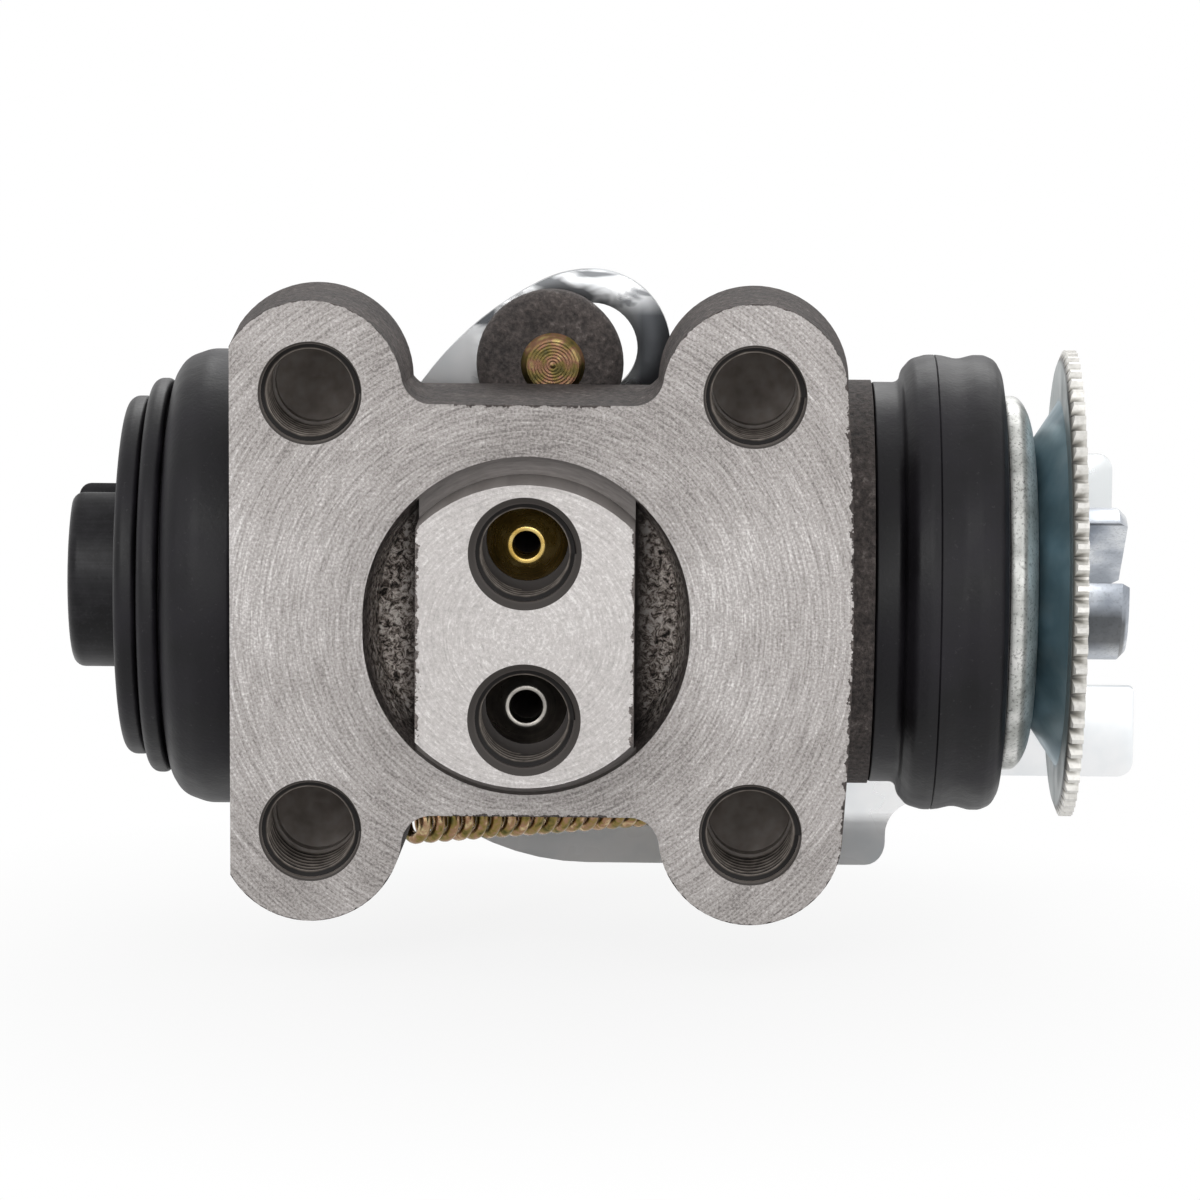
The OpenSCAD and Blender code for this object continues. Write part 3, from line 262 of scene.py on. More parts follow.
    # holes are darkest at their chamfered mouths, and the ports are darker than the bolt holes
    deep = put(tree, "Math", {0: inPilot, 1: size["portRise"], 2: y}, operation="MULTIPLY_ADD")
    holeColour = put(tree, "ValToRGB", {"Fac": lumps}, stops=[(0.3, "#7a716b"), (0.7, "#958d87")])
    holeColour = put(tree, "Mix", {"Factor": inPilot, 6: holeColour, 7: "#4f4946"}, out=2, data_type="RGBA")
    holeColour = put(tree, "Mix", {
        "Factor": fadeOver(tree, [(deep, 0.15, 0.5)]), 6: "#3d3835", 7: holeColour}, out=2, data_type="RGBA")
    cutWall = put(tree, "Math", {0: wall, 1: face}, operation="GREATER_THAN")
    colour = skinColour
    for mask, over in ((cut, faceColour), (cutWall, shadedWallColour), (drilled, holeColour)):
        colour = put(tree, "Mix", {"Factor": mask, 6: colour, 7: over}, out=2, data_type="RGBA")
    smooth = put(tree, "Math", {0: wall, 1: drilled}, operation="MAXIMUM")
    smooth = put(tree, "Math", {0: cut, 1: smooth}, operation="MAXIMUM")
    rough = put(tree, "MapRange", {"Value": smooth, "To Min": 0.8, "To Max": 0.48})
    uneven = put(tree, "Math", {0: tone, 1: 0.5}, operation="SUBTRACT")
    rough = put(tree, "Math", {0: uneven, 1: 0.35, 2: rough}, operation="MULTIPLY_ADD")
    lumpShare = put(tree, "MapRange", {"Value": pocket, "To Min": 0.7, "To Max": 3.2})
    height = put(tree, "Math", {0: lumps, 1: lumpShare, 2: grain}, operation="MULTIPLY_ADD")
    asCast = put(tree, "Math", {0: 1.0, 1: smooth}, operation="SUBTRACT")
    height = put(tree, "Math", {0: height, 1: asCast}, operation="MULTIPLY")
    marks = put(tree, "Math", {0: tone, 1: cut}, operation="MULTIPLY")
    height = put(tree, "Math", {0: marks, 1: 0.16, 2: height}, operation="MULTIPLY_ADD")
    dressFinish(tree, {
        "Base Color": colour, "Roughness": rough,
        "Metallic": put(tree, "Math", {0: cut, 1: 0.45}, operation="MULTIPLY"),
        "Normal": put(tree, "Bump", {"Height": height, "Distance": 0.5 * mm, "Strength": 0.9})})
    return material


# Moulded rubber: near black, with a faint bloom, a little mould dust and a broad soft sheen
def rubberFinish(name, dark, light, rough, sheen):
    material, tree, where = newFinish(name)
    bloom = put(tree, "TexNoise", {"Vector": where, "Scale": 1000 / 9.0, "Detail": 3.0})
    dust = put(tree, "TexNoise", {"Vector": where, "Scale": 1000 / 0.7, "Detail": 3.0, "Roughness": 0.7})
    dust = put(tree, "MapRange", {"Value": dust, "From Min": 0.63, "From Max": 0.78, "To Max": 0.16})
    colour = put(tree, "ValToRGB", {"Fac": bloom}, stops=[(0.35, dark), (0.68, light)])
    colour = put(tree, "Mix", {"Factor": dust, 6: colour, 7: "#6d6a6c"}, out=2, data_type="RGBA")
    fine = put(tree, "TexNoise", {"Vector": where, "Scale": 1000 / 0.5, "Detail": 3.0})
    height = put(tree, "Math", {0: bloom, 1: 7.0, 2: fine}, operation="MULTIPLY_ADD")
    dressFinish(tree, {
        "Base Color": colour, "Specular IOR Level": sheen,
        "Roughness": put(tree, "MapRange", {
            "Value": bloom, "From Min": 0.3, "From Max": 0.7, "To Min": rough - 0.08, "To Max": rough + 0.1}),
        "Normal": put(tree, "Bump", {"Height": height, "Distance": 0.05 * mm, "Strength": 0.6})})
    return material


# Plated or turned metal: tone and gloss drift slowly over it, with fine lines of drawing or turning across one
# axis, small specks and, on the screw, a band of painted shade on the round flanks
def metalFinish(name, stops, rough, driftMm, lineMm, lineAxis, specks=0.0, metallic=1.0, speckColour="#5c5b58",
                lineShare=0.3, shadeBand=0.0, sheen=0.5):
    material, tree, where = newFinish(name)
    drift = put(tree, "TexNoise", {"Vector": where, "Scale": 1000 / driftMm, "Detail": 3.0})
    stretch = [1.0 if i == lineAxis else 0.04 for i in range(3)]
    along = put(tree, "VectorMath", {0: where, 1: stretch}, operation="MULTIPLY")
    lines = put(tree, "TexNoise", {"Vector": along, "Scale": 1000 / lineMm, "Detail": 2.0, "Roughness": 0.6})
    tone = put(tree, "Math", {0: lines, 1: lineShare}, operation="MULTIPLY")
    tone = put(tree, "Math", {0: drift, 1: 1.0 - lineShare, 2: tone}, operation="MULTIPLY_ADD")
    colour = put(tree, "ValToRGB", {"Fac": tone}, stops=stops)
    fine = put(tree, "TexNoise", {"Vector": where, "Scale": 1000 / 0.4, "Detail": 2.0, "Roughness": 0.65})
    spots = put(tree, "MapRange", {"Value": fine, "From Min": 0.52, "From Max": 0.72, "To Max": specks})
    colour = put(tree, "Mix", {"Factor": spots, 6: colour, 7: speckColour}, out=2, data_type="RGBA")
    # painted shade: the round flanks that look a little downwards are darkened, as shade falls there
    down = put(tree, "SeparateXYZ", {0: put(tree, "TexCoord", out="Normal")}, out=2)
    radius = radiusFrom(tree, where, (0, boreY, boreZ), 0)[0]
    flank = put(tree, "MapRange", {"Value": radius, "From Min": 9.0, "From Max": 9.3, "To Max": shadeBand})
    downShade = fadeOver(tree, [(down, -0.12, -0.3), (down, -0.9, -0.65)])
    downShade = put(tree, "Math", {0: downShade, 1: flank}, operation="MULTIPLY")
    colour = put(tree, "Mix", {"Factor": downShade, 6: colour, 7: "#3d3d3c"}, out=2, data_type="RGBA")
    height = put(tree, "Math", {0: fine, 1: 0.5, 2: lines}, operation="MULTIPLY_ADD")
    dressFinish(tree, {
        "Base Color": colour, "Metallic": metallic, "Specular IOR Level": sheen,
        "Roughness": put(tree, "MapRange", {
            "Value": tone, "From Min": 0.3, "From Max": 0.7, "To Min": rough + 0.08, "To Max": rough - 0.06}),
        "Normal": put(tree, "Bump", {"Height": height, "Distance": 0.012 * mm, "Strength": 0.5})})
    return material


# Tapped iron: dull grey crests over dark roots, the dark roots being painted shade, so that the ridges show in the
# shade of the holes
def threadFinish():
    material, tree, where = newFinish("tapped cast iron")
    fromBolt = boltDistance(tree, where)[0]
    port = put(tree, "VectorMath", {0: radiusFrom(tree, where, (pilotX, 0, pilotZ), 1)[1]}, operation="ABSOLUTE")
    port = put(tree, "VectorMath", {0: port, 1: (0, 0, (portZ[1] - portZ[0]) / 2)}, operation="SUBTRACT")
    fromPort = put(tree, "VectorMath", {0: port}, out="Value", operation="LENGTH")
    radius = put(tree, "Math", {0: fromBolt, 1: fromPort}, operation="MINIMUM")
    wear = put(tree, "TexNoise", {"Vector": where, "Scale": 1000 / 1.5, "Detail": 3.0})
    worn = put(tree, "Math", {0: wear, 1: -0.25, 2: radius}, operation="MULTIPLY_ADD")
    # painted shade: each ridge goes dark towards its root
    crest = fadeOver(tree, [(worn, 5.46, 5.2)])
    colour = put(tree, "ValToRGB", {"Fac": crest}, stops=[(0.0, "#171413"), (0.5, "#59524c"), (1.0, "#9d948c")])
    dressFinish(tree, {
        "Base Color": colour, "Metallic": 0.2,
        "Roughness": put(tree, "MapRange", {"Value": wear, "To Min": 0.55, "To Max": 0.35})})
    return material


# radii and places where the wheel's tones change, mm
wheelMarks = {"flat": (23.3, 23.9), "teeth": (28.3, 28.7), "tips": (28.75, 29.45), "openSide": (66.8, 68.2)}


# Blue passivated wheel: dark teal in the dish, partly painted reflection of dark surroundings, blue grey on the flat,
# light warm grey teeth with painted shade in their gaps
def wheelFinish(marks):
    material, tree, where = newFinish("blue passivated zinc on pressed steel")
    x = placeMm(tree, where)[0]
    radius = radiusFrom(tree, where, (0, boreY, boreZ), 0)[0]
    drift = put(tree, "TexNoise", {"Vector": where, "Scale": 1000 / 6.0, "Detail": 3.0})
    fine = put(tree, "TexNoise", {"Vector": where, "Scale": 1000 / 0.6, "Detail": 2.0})
    # painted reflection: the dish gets a darker teal than the flat, over the blue of the plate
    dishTintAndReflection = put(tree, "ValToRGB", {"Fac": drift}, stops=[(0.32, "#6d8691"), (0.5, "#7c95a0"), (0.7, "#90a5af")])
    # the open side is greyer than the side turned to the boot
    side = put(tree, "SeparateXYZ", {0: put(tree, "TexCoord", out="Normal")})
    greyer = put(tree, "ValToRGB", {"Fac": drift}, stops=[(0.32, "#7f898d"), (0.7, "#949da0")])
    dishTintAndReflection = put(tree, "Mix", {
        "Factor": fadeOver(tree, [(side, -0.1, 0.2)]), 6: dishTintAndReflection, 7: greyer}, out=2, data_type="RGBA")
    flat = put(tree, "ValToRGB", {"Fac": drift}, stops=[(0.32, "#8a9394"), (0.7, "#9fa7a7")])
    # painted shade darkens the gaps between the teeth, and the teeth lighten towards their tips and on the open side
    outer = put(tree, "MapRange", {
        "Value": x, "From Min": marks["openSide"][0], "From Max": marks["openSide"][1], "To Max": 0.85})
    worn = put(tree, "Math", {0: fadeOver(tree, [(radius, *marks["tips"])]), 1: outer}, operation="MAXIMUM")
    rubbed = put(tree, "MapRange", {"Value": fine, "From Min": 0.2, "From Max": 0.6, "To Min": 0.8, "To Max": 1.0})
    worn = put(tree, "Math", {0: worn, 1: rubbed}, operation="MULTIPLY")
    teeth = put(tree, "ValToRGB", {"Fac": worn}, stops=[(0.0, "#3f3f3d"), (0.5, "#a19e97"), (1.0, "#eceae5")])
    onFlat = fadeOver(tree, [(radius, *marks["flat"])])
    onTeeth = fadeOver(tree, [(radius, *marks["teeth"])])
    colour = put(tree, "Mix", {"Factor": onFlat, 6: dishTintAndReflection, 7: flat}, out=2, data_type="RGBA")
    colour = put(tree, "Mix", {"Factor": onTeeth, 6: colour, 7: teeth}, out=2, data_type="RGBA")
    dressFinish(tree, {
        "Base Color": colour,
        "Metallic": put(tree, "MapRange", {"Value": onTeeth, "To Min": 0.85, "To Max": 0.35}),
        "Roughness": put(tree, "MapRange", {
            "Value": drift, "From Min": 0.3, "From Max": 0.7, "To Min": 0.42, "To Max": 0.3}),
        "Normal": put(tree, "Bump", {"Height": fine, "Distance": 0.02 * mm, "Strength": 0.5})})
    return material


# Bright zinc lever: almost white on the face turned to the flange, which is painted light, silver elsewhere, with
# painted reflection and shadow of the dark boss round the eye, matt on the lip
def leverFinish():
    material, tree, where = newFinish("bright zinc plate on pressed steel")
    x, y, z = placeMm(tree, where)
    drift = put(tree, "TexNoise", {"Vector": where, "Scale": 1000 / 9.0, "Detail": 3.0})
    fine = put(tree, "TexNoise", {"Vector": where, "Scale": 1000 / 0.5, "Detail": 2.0})
    # painted light: faces turned to the flange and the lamps get an almost white plate, the other faces a silver one
    plate = put(tree, "ValToRGB", {"Fac": drift}, stops=[(0.34, "#b9bec2"), (0.5, "#cbcfd2"), (0.66, "#dcdee0")])
    front = put(tree, "ValToRGB", {"Fac": drift}, stops=[(0.34, "#eceff1"), (0.5, "#f6f7f8"), (0.66, "#fcfcfc")])
    litFace = put(tree, "SeparateXYZ", {0: put(tree, "TexCoord", out="Normal")}, out=1)
    litFace = fadeOver(tree, [(litFace, -0.5, -0.65)])
    plate = put(tree, "Mix", {"Factor": litFace, 6: plate, 7: front}, out=2, data_type="RGBA")
    # painted reflection and shadow of the dark boss: right of the boss, in a streak over it and in a wedge at its left;
    # the foot of the eye is left without it
    reflectionStreak = put(tree, "VectorMath", {0: where, 1: (0.7, 1.0, 1.6)}, operation="MULTIPLY")
    reflectionStreak = put(tree, "TexNoise", {"Vector": reflectionStreak, "Scale": 1000 / 5.0, "Detail": 2.0, "Distortion": 1.2})
    reflectionStreak = put(tree, "MapRange", {
        "Value": reflectionStreak, "From Min": 0.4, "From Max": 0.62, "To Min": 0.25, "To Max": 0.9})
    reflectionWedge = fadeOver(tree, [(z, 31.0, 31.8), (z, 36.5, 35.5), (x, -4.0, -6.0)])
    paintedBossReflection = fadeOver(tree, [(x, 4.0, 13.0), (z, 39.5, 33.0)])
    for other in (reflectionStreak, reflectionWedge):
        paintedBossReflection = put(tree, "Math", {0: paintedBossReflection, 1: other}, operation="MAXIMUM")
    plainFoot = fadeOver(tree, [(x, -6.0, -9.0), (z, 31.5, 30.0)])
    offFoot = put(tree, "Math", {0: 1.0, 1: plainFoot}, operation="SUBTRACT")
    eye = fadeOver(tree, [(y, 60.0, 46.0)])
    for share in (offFoot, eye):
        paintedBossReflection = put(tree, "Math", {0: paintedBossReflection, 1: share}, operation="MULTIPLY")
    upperTab = fadeOver(tree, [(x, 58.0, 62.0), (z, -9.0, -4.0)])
    plate = put(tree, "Mix", {"Factor": upperTab, 6: plate, 7: "#dcdfe0"}, out=2, data_type="RGBA")
    colour = put(tree, "Mix", {"Factor": paintedBossReflection, 6: plate, 7: "#4b4d50"}, out=2, data_type="RGBA")
    matt = put(tree, "Math", {0: fadeOver(tree, [(z, -37.6, -39.2)]), 1: plainFoot}, operation="MAXIMUM")
    dressFinish(tree, {
        "Base Color": colour,
        "Metallic": put(tree, "MapRange", {"Value": matt, "To Min": 0.85, "To Max": 0.0}),
        "Roughness": put(tree, "MapRange", {
            "Value": drift, "From Min": 0.3, "From Max": 0.7, "To Min": 0.34, "To Max": 0.24}),
        "Normal": put(tree, "Bump", {"Height": fine, "Distance": 0.006 * mm, "Strength": 0.4})})
    return material


finishes = {
    "castIron": castIronFinish(casting),
    "leverZinc": leverFinish(),
    "wheelZinc": wheelFinish(wheelMarks),
    "bootRubber": rubberFinish("moulded EPDM rubber", "#0f0e11", "#1d1b20", rough=0.46, sheen=0.26),
    "sealRubber": rubberFinish("moulded seal rubber", "#121213", "#1e1e20", rough=0.4, sheen=0.3),
    # bright zinc plate on pressed steel: silver white with faint blue grey drift
    "brightZinc": metalFinish(
        "bright zinc plate on pressed steel", [(0.34, "#c3c8cc"), (0.5, "#e2e5e6"), (0.66, "#f3f4f4")],
        rough=0.27, driftMm=9.0, lineMm=0.5, lineAxis=0, specks=0.1),
    # zinc on the forged screw: bluer and duller, and darker as painted shade for its prongs, so they read grey beside
    # the lever
    "screwZinc": metalFinish(
        "blue white zinc on forged steel", [(0.34, "#959ba4"), (0.5, "#b4b9c1"), (0.66, "#d5d8db")],
        rough=0.3, driftMm=6.0, lineMm=0.5, lineAxis=1, specks=0.3, lineShare=0.05, shadeBand=0.8),
    # coarse barrelled zinc: pale, with dark pits that make it look sanded
    "ringZinc": metalFinish(
        "barrelled zinc on pressed steel", [(0.34, "#a5a6a2"), (0.5, "#cfd0cc"), (0.66, "#eeedea")],
        rough=0.36, driftMm=5.0, lineMm=0.4, lineAxis=0, specks=0.75, metallic=0.65, lineShare=0.1),
    # yellow chromate on zinc: gold that drifts to olive and rose
    "yellowZinc": metalFinish(
        "yellow chromate zinc plate", [(0.36, "#4f4c28"), (0.47, "#857342"), (0.54, "#97745d"), (0.64, "#cdbd8f")],
        rough=0.28, driftMm=1.6, lineMm=0.4, lineAxis=1, specks=0.15),
    # the same plate on the rough turned bolt end: darker and more mottled
    "boltZinc": metalFinish(
        "yellow chromate on a turned end",
        [(0.38, "#4f4a2d"), (0.47, "#71623a"), (0.54, "#7f5c4b"), (0.64, "#9c8a5a")],
        rough=0.38, driftMm=2.0, lineMm=0.3, lineAxis=1, specks=0.25),
    # turned brass: dull gold in the shade of the port, with a bright rim
    "brass": metalFinish(
        "turned brass", [(0.34, "#846d33"), (0.5, "#b29248"), (0.66, "#dcc37f")],
        rough=0.26, driftMm=3.0, lineMm=0.3, lineAxis=1, metallic=0.75),
    # turned steel of the seat: warm grey, so that its rim stays below white
    "seatSteel": metalFinish(
        "turned steel seat", [(0.34, "#7b7874"), (0.5, "#9c9892"), (0.66, "#c0bbb3")],
        rough=0.3, driftMm=3.0, lineMm=0.3, lineAxis=1),
    # turned steel inside: plain grey with fine tool lines
    "turnedSteel": metalFinish(
        "turned steel", [(0.34, "#8c8e91"), (0.5, "#aaacae"), (0.66, "#c6c7c8")],
        rough=0.3, driftMm=6.0, lineMm=0.35, lineAxis=0, specks=0.1),
    "tappedIron": threadFinish(),
    # drawn wire: darker grey than the turned steel, without specks
    "springSteel": metalFinish(
        "drawn spring wire", [(0.34, "#76787b"), (0.5, "#94969a"), (0.66, "#b0b2b5")],
        rough=0.3, driftMm=4.0, lineMm=0.3, lineAxis=0),
    # black oxide on steel: near black, with a low gloss and worn grey lines
    "blackOxide": metalFinish(
        "black oxide on steel", [(0.36, "#0b0a0c"), (0.5, "#141316"), (0.66, "#252427")],
        rough=0.34, driftMm=4.0, lineMm=0.4, lineAxis=2, specks=0.12, metallic=0.0, speckColour="#4a484a", sheen=0.2),
}
print("finishes:", len(finishes))

slotFinish = {
    "cast_iron": "castIron", "brass": "brass", "seat_steel": "seatSteel", "machined_steel": "turnedSteel",
    "black_steel": "blackOxide", "seal_rubber": "sealRubber", "boot_rubber": "bootRubber",
    "spring_steel": "springSteel", "yellow_zinc": "yellowZinc", "bright_zinc": "brightZinc", "wheel_steel": "wheelZinc",
}
nodeFinish = {  # pieces that look unlike the rest of their slot
    "adjuster_lever": "leverZinc", "adjuster_screw": "screwZinc", "boot_retainer": "ringZinc", "pivot_bolt": "boltZinc",
}
slotOf = {s["node"]: s["material_slot"] for s in frame["record"]["subparts"]}
for name, node in nodes.items():
    node.data.materials.clear()
    node.data.materials.append(finishes[nodeFinish.get(name, slotFinish[slotOf[name]])])
print("solids dressed:", len(nodes))


def keepPiece(name, mesh, smoothAngle):
    mesh.shade_smooth()
    mesh.set_sharp_from_angle(angle=math.radians(smoothAngle))
    piece = bpy.data.objects.new(name, mesh)
    scene.collection.objects.link(piece)
    return piece


# new mesh object from points and faces, with doubles merged and faces turned outwards
def meshPiece(name, points, faces, finish, smoothAngle=40):
    mesh = bpy.data.meshes.new(name)
    mesh.from_pydata([tuple(c * mm for c in p) for p in points], [], faces)
    bm = bmesh.new()
    bm.from_mesh(mesh)
    bmesh.ops.remove_doubles(bm, verts=bm.verts, dist=1e-7)
    bmesh.ops.recalc_face_normals(bm, faces=bm.faces)
    bm.to_mesh(mesh)
    bm.free()
    mesh.materials.append(finishes[finish])
    return keepPiece(name, mesh, smoothAngle)


# rounds the corners of a closed outline of (across, up, radius)
def rounded(corners, steps=8):
    out = []
    count = len(corners)
    for i, (x, y, r) in enumerate(corners):
        here = Vector((x, y))
        before = Vector(corners[i - 1][:2]) - here
        after = Vector(corners[(i + 1) % count][:2]) - here
        half = before.angle(after) / 2
        if r <= 0 or abs(half - math.pi / 2) < 1e-4:
            out.append((x, y))
            continue
        reach = min(r / math.tan(half), before.length * 0.49, after.length * 0.49)
        r = reach * math.tan(half)
        centre = here + (before.normalized() + after.normalized()).normalized() * r / math.sin(half)
        a = here + before.normalized() * reach - centre
        b = here + after.normalized() * reach - centre
        sweep = math.pi - 2 * half
        for k in range(steps + 1):
            f = k / steps
            p = centre + (a * math.sin((1 - f) * sweep) + b * math.sin(f * sweep)) / math.sin(sweep)
            out.append((p.x, p.y))
    return out


# turns a closed outline of (x, radius) round the bore axis
def turnedPiece(name, outline, finish, segments=192):
    count = len(outline)
    points, faces = [], []
    for k in range(segments):
        a = 2 * math.pi * k / segments
        points += [(x, boreY + r * math.cos(a), boreZ + r * math.sin(a)) for x, r in outline]
    for k in range(segments):
        here, after = k * count, (k + 1) % segments * count
        faces += [(here + i, here + (i + 1) % count, after + (i + 1) % count, after + i) for i in range(count)]
    return meshPiece(name, points, faces, finish)


# left boot: bulge, fold and lip, turned from their moulded section
leftBoot = {
    "face": -37.1, "mouth": 23.6, "bulgeEnd": -46.7, "bulgeR": 29.2, "foldEnd": -49.8, "foldR": 25.35,
    "lipEnd": -52.7, "lipR": 23.05, "hold": 12.25, "wall": 1.8,
}


def makeLeftBoot(b):
    face, bulge, fold, lip, w = b["face"], b["bulgeEnd"], b["foldEnd"], b["lipEnd"], b["wall"]
    bulgeR, foldR, lipR = b["bulgeR"], b["foldR"], b["lipR"]
    outline = rounded([
        (face, b["mouth"], 0), (face, bulgeR, 0.9), (bulge + 4.6, bulgeR, 5.0), (bulge + 1.5, bulgeR - 1.1, 4.0),
        (bulge + 0.2, bulgeR - 3.2, 3.0), (bulge, foldR - 1.8, 0.5), (bulge - 0.25, foldR - 1.8, 0.2),
        (bulge - 0.25, foldR, 1.3), (fold + 0.2, foldR, 1.3), (fold + 0.2, lipR - 1.4, 0.3),
        (fold - 0.1, lipR - 1.4, 0.2), (fold - 0.1, lipR, 0.9), (lip, lipR, 1.5), (lip, b["hold"], 0.4),
        (fold, b["hold"], 0.3), (fold, foldR - 4.8, 0.4), (bulge + w, foldR - 4.8, 0.3),
        (bulge + w, bulgeR - w, 2.0), (face - w, bulgeR - w, 1.0), (face - w, b["mouth"], 0.2)])
    return turnedPiece("leftBootRubber", outline, "bootRubber")


boot = makeLeftBoot(leftBoot)
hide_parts("left_boot")
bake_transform(boot)

# right boot: collar, two humps with a shallow valley, and the parting line of its mould
rightBoot = {
    "face": 42.45, "mouth": 23.55, "collarEnd": 45.9, "collarR": 25.65, "humpR": 29.2, "seam": 50.4, "seamHalf": 0.12,
    "firstEnd": 51.4, "dip": 53.3, "dipR": 28.65, "second": 55.3, "secondEnd": 56.7, "shoulder": 58.1, "end": 59.1,
    "bead": 15.4, "beadWall": 2.4, "wall": 1.8,
}


def makeRightBoot(b):
    collar, seam, half, end, w = b["collarEnd"], b["seam"], b["seamHalf"], b["end"], b["wall"]
    collarR, humpR, bead, beadWall = b["collarR"], b["humpR"], b["bead"], b["beadWall"]
    outline = rounded([
        (b["face"], b["mouth"], 0), (b["face"], collarR, 0.3), (collar, collarR, 1.0),
        (collar + 0.35, humpR - 1.9, 1.4), (collar + 1.5, humpR - 0.55, 1.8), (collar + 3.4, humpR, 3.0),
        (seam - half, humpR, 0), (seam, humpR - 0.14, 0), (seam + half, humpR, 0),
        (b["firstEnd"], humpR - 0.1, 1.5), (b["dip"], b["dipR"], 3.0), (b["second"], humpR, 2.5),
        (b["secondEnd"], humpR, 2.0), (b["shoulder"], humpR - 0.6, 1.8), (end - 0.2, humpR - 2.1, 1.6),
        (end, bead, 0.5), (end - beadWall, bead, 0.5), (end - beadWall, bead + beadWall, 0.5),
        (end - w, bead + 3.0, 0.4), (end - w, humpR - w, 1.6), (collar + 0.8 + w, humpR - w, 1.6),
        (collar + 0.6, collarR - w, 0.5), (collar, b["mouth"], 0.3)])
    return turnedPiece("rightBootRubber", outline, "bootRubber")


boot = makeRightBoot(rightBoot)
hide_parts("right_boot")
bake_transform(boot)
print("boots made")

# retainer: a pressed ring that domes from its rim to its face
retainer = {
    "front": 59.14, "rimR": 24.0, "rimEnd": 60.5, "face": 63.0, "faceR": 18.5, "bore": 14.55, "wall": 1.6,
    "step": 60.9, "stepWall": 2.2, "steps": 12,
}


def makeRetainer(b):
    front, rimR, bore = b["front"], b["rimR"], b["bore"]
    outline = [(front, bore), (front, rimR - 0.35), (front + 0.12, rimR - 0.1), (front + 0.4, rimR)]
    for i in range(b["steps"] + 1):
        a = math.radians(90 * i / b["steps"])
        outline.append((b["rimEnd"] + (b["face"] - b["rimEnd"]) * math.sin(a) ** 1.15,
                        b["faceR"] + (rimR - b["faceR"]) * math.cos(a) ** 1.05))
    outline += [(b["face"], b["faceR"] - b["wall"]), (b["step"], bore + b["stepWall"]), (b["step"], bore)]
    return turnedPiece("retainerRing", outline, "ringZinc")


piece = makeRetainer(retainer)
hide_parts("boot_retainer")
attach(piece, "right_plunger")

# pressed, forged and turned pieces with their edges softened: width of the round and the node's body
softEdges = {
    "adjuster_lever": {"width": 0.32, "body": "lever"},
    "adjuster_screw": {"width": 0.45, "body": "shoe_screw"},
    "left_tappet": {"width": 0.35, "body": "left_plunger"},
    "pivot_washer": {"width": 0.2, "body": "cylinder"},
    "outlet_seat": {"width": 0.16, "body": "cylinder"},
    "inlet_seat": {"width": 0.12, "body": "cylinder"},
}


# copy of a node with the edges rounded where faces meet at more than the sharp angle
def softCopy(node, width, flatAngle=1.0, sharpAngle=28):
    mesh = node.data.copy()
    bm = bmesh.new()
    bm.from_mesh(mesh)
    bmesh.ops.remove_doubles(bm, verts=bm.verts, dist=1e-6)
    bmesh.ops.dissolve_limit(bm, angle_limit=math.radians(flatAngle), verts=bm.verts, edges=bm.edges)
    sharp = [e for e in bm.edges if len(e.link_faces) == 2 and e.calc_face_angle(0) > math.radians(sharpAngle)]
    bmesh.ops.bevel(
        bm, geom=sharp, offset=width * mm, segments=3, profile=0.5, affect="EDGES", clamp_overlap=True)
    bmesh.ops.triangulate(bm, faces=[f for f in bm.faces if len(f.verts) > 4])
    bm.to_mesh(mesh)
    bm.free()
    return mesh


for name, s in softEdges.items():
    piece = keepPiece(name + "Soft", softCopy(nodes[name], s["width"]), 35)
    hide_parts(name)
    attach(piece, s["body"])
print("edges softened:", len(softEdges))


# new geometry tree with named inputs
def newTree(name, inputs):
    tree = bpy.data.node_groups.new(name, "GeometryNodeTree")
    tree.interface.new_socket("Geometry", in_out="INPUT", socket_type="NodeSocketGeometry")
    for label, kind in inputs.items():
        tree.interface.new_socket(label, in_out="INPUT", socket_type="NodeSocket" + kind)
    tree.interface.new_socket("Geometry", in_out="OUTPUT", socket_type="NodeSocketGeometry")
    return tree, put(tree, "NodeGroupInput", out=None).outputs


# ends a tree: instances made real, then the finish
def closeTree(tree, grown, finish):
    real = put(tree, "GeometryNodeRealizeInstances", {"Geometry": grown})
    dressed = put(tree, "GeometryNodeSetMaterial", {"Geometry": real, "Material": finish})
    put(tree, "NodeGroupOutput", {0: dressed}, out=None)
    return tree


# runs a tree on an object and keeps the result as a plain mesh
def growPiece(name, tree, values, base=None):
    start = bpy.data.objects.new(name + "Start", base or bpy.data.meshes.new(name + "Start"))
    scene.collection.objects.link(start)
    modifier = start.modifiers.new("grow", "NODES")
    modifier.node_group = tree
    sockets = [item for item in tree.interface.items_tree if item.item_type == "SOCKET" and item.in_out == "INPUT"]
    ids = {item.name: item.identifier for item in sockets}
    for label, value in values.items():
        modifier[ids[label]] = value
    depsgraph = bpy.context.evaluated_depsgraph_get()
    mesh = bpy.data.meshes.new_from_object(start.evaluated_get(depsgraph))
    start.modifiers.clear()
    bpy.data.objects.remove(start)
    mesh.name = name
    return keepPiece(name, mesh, 50)


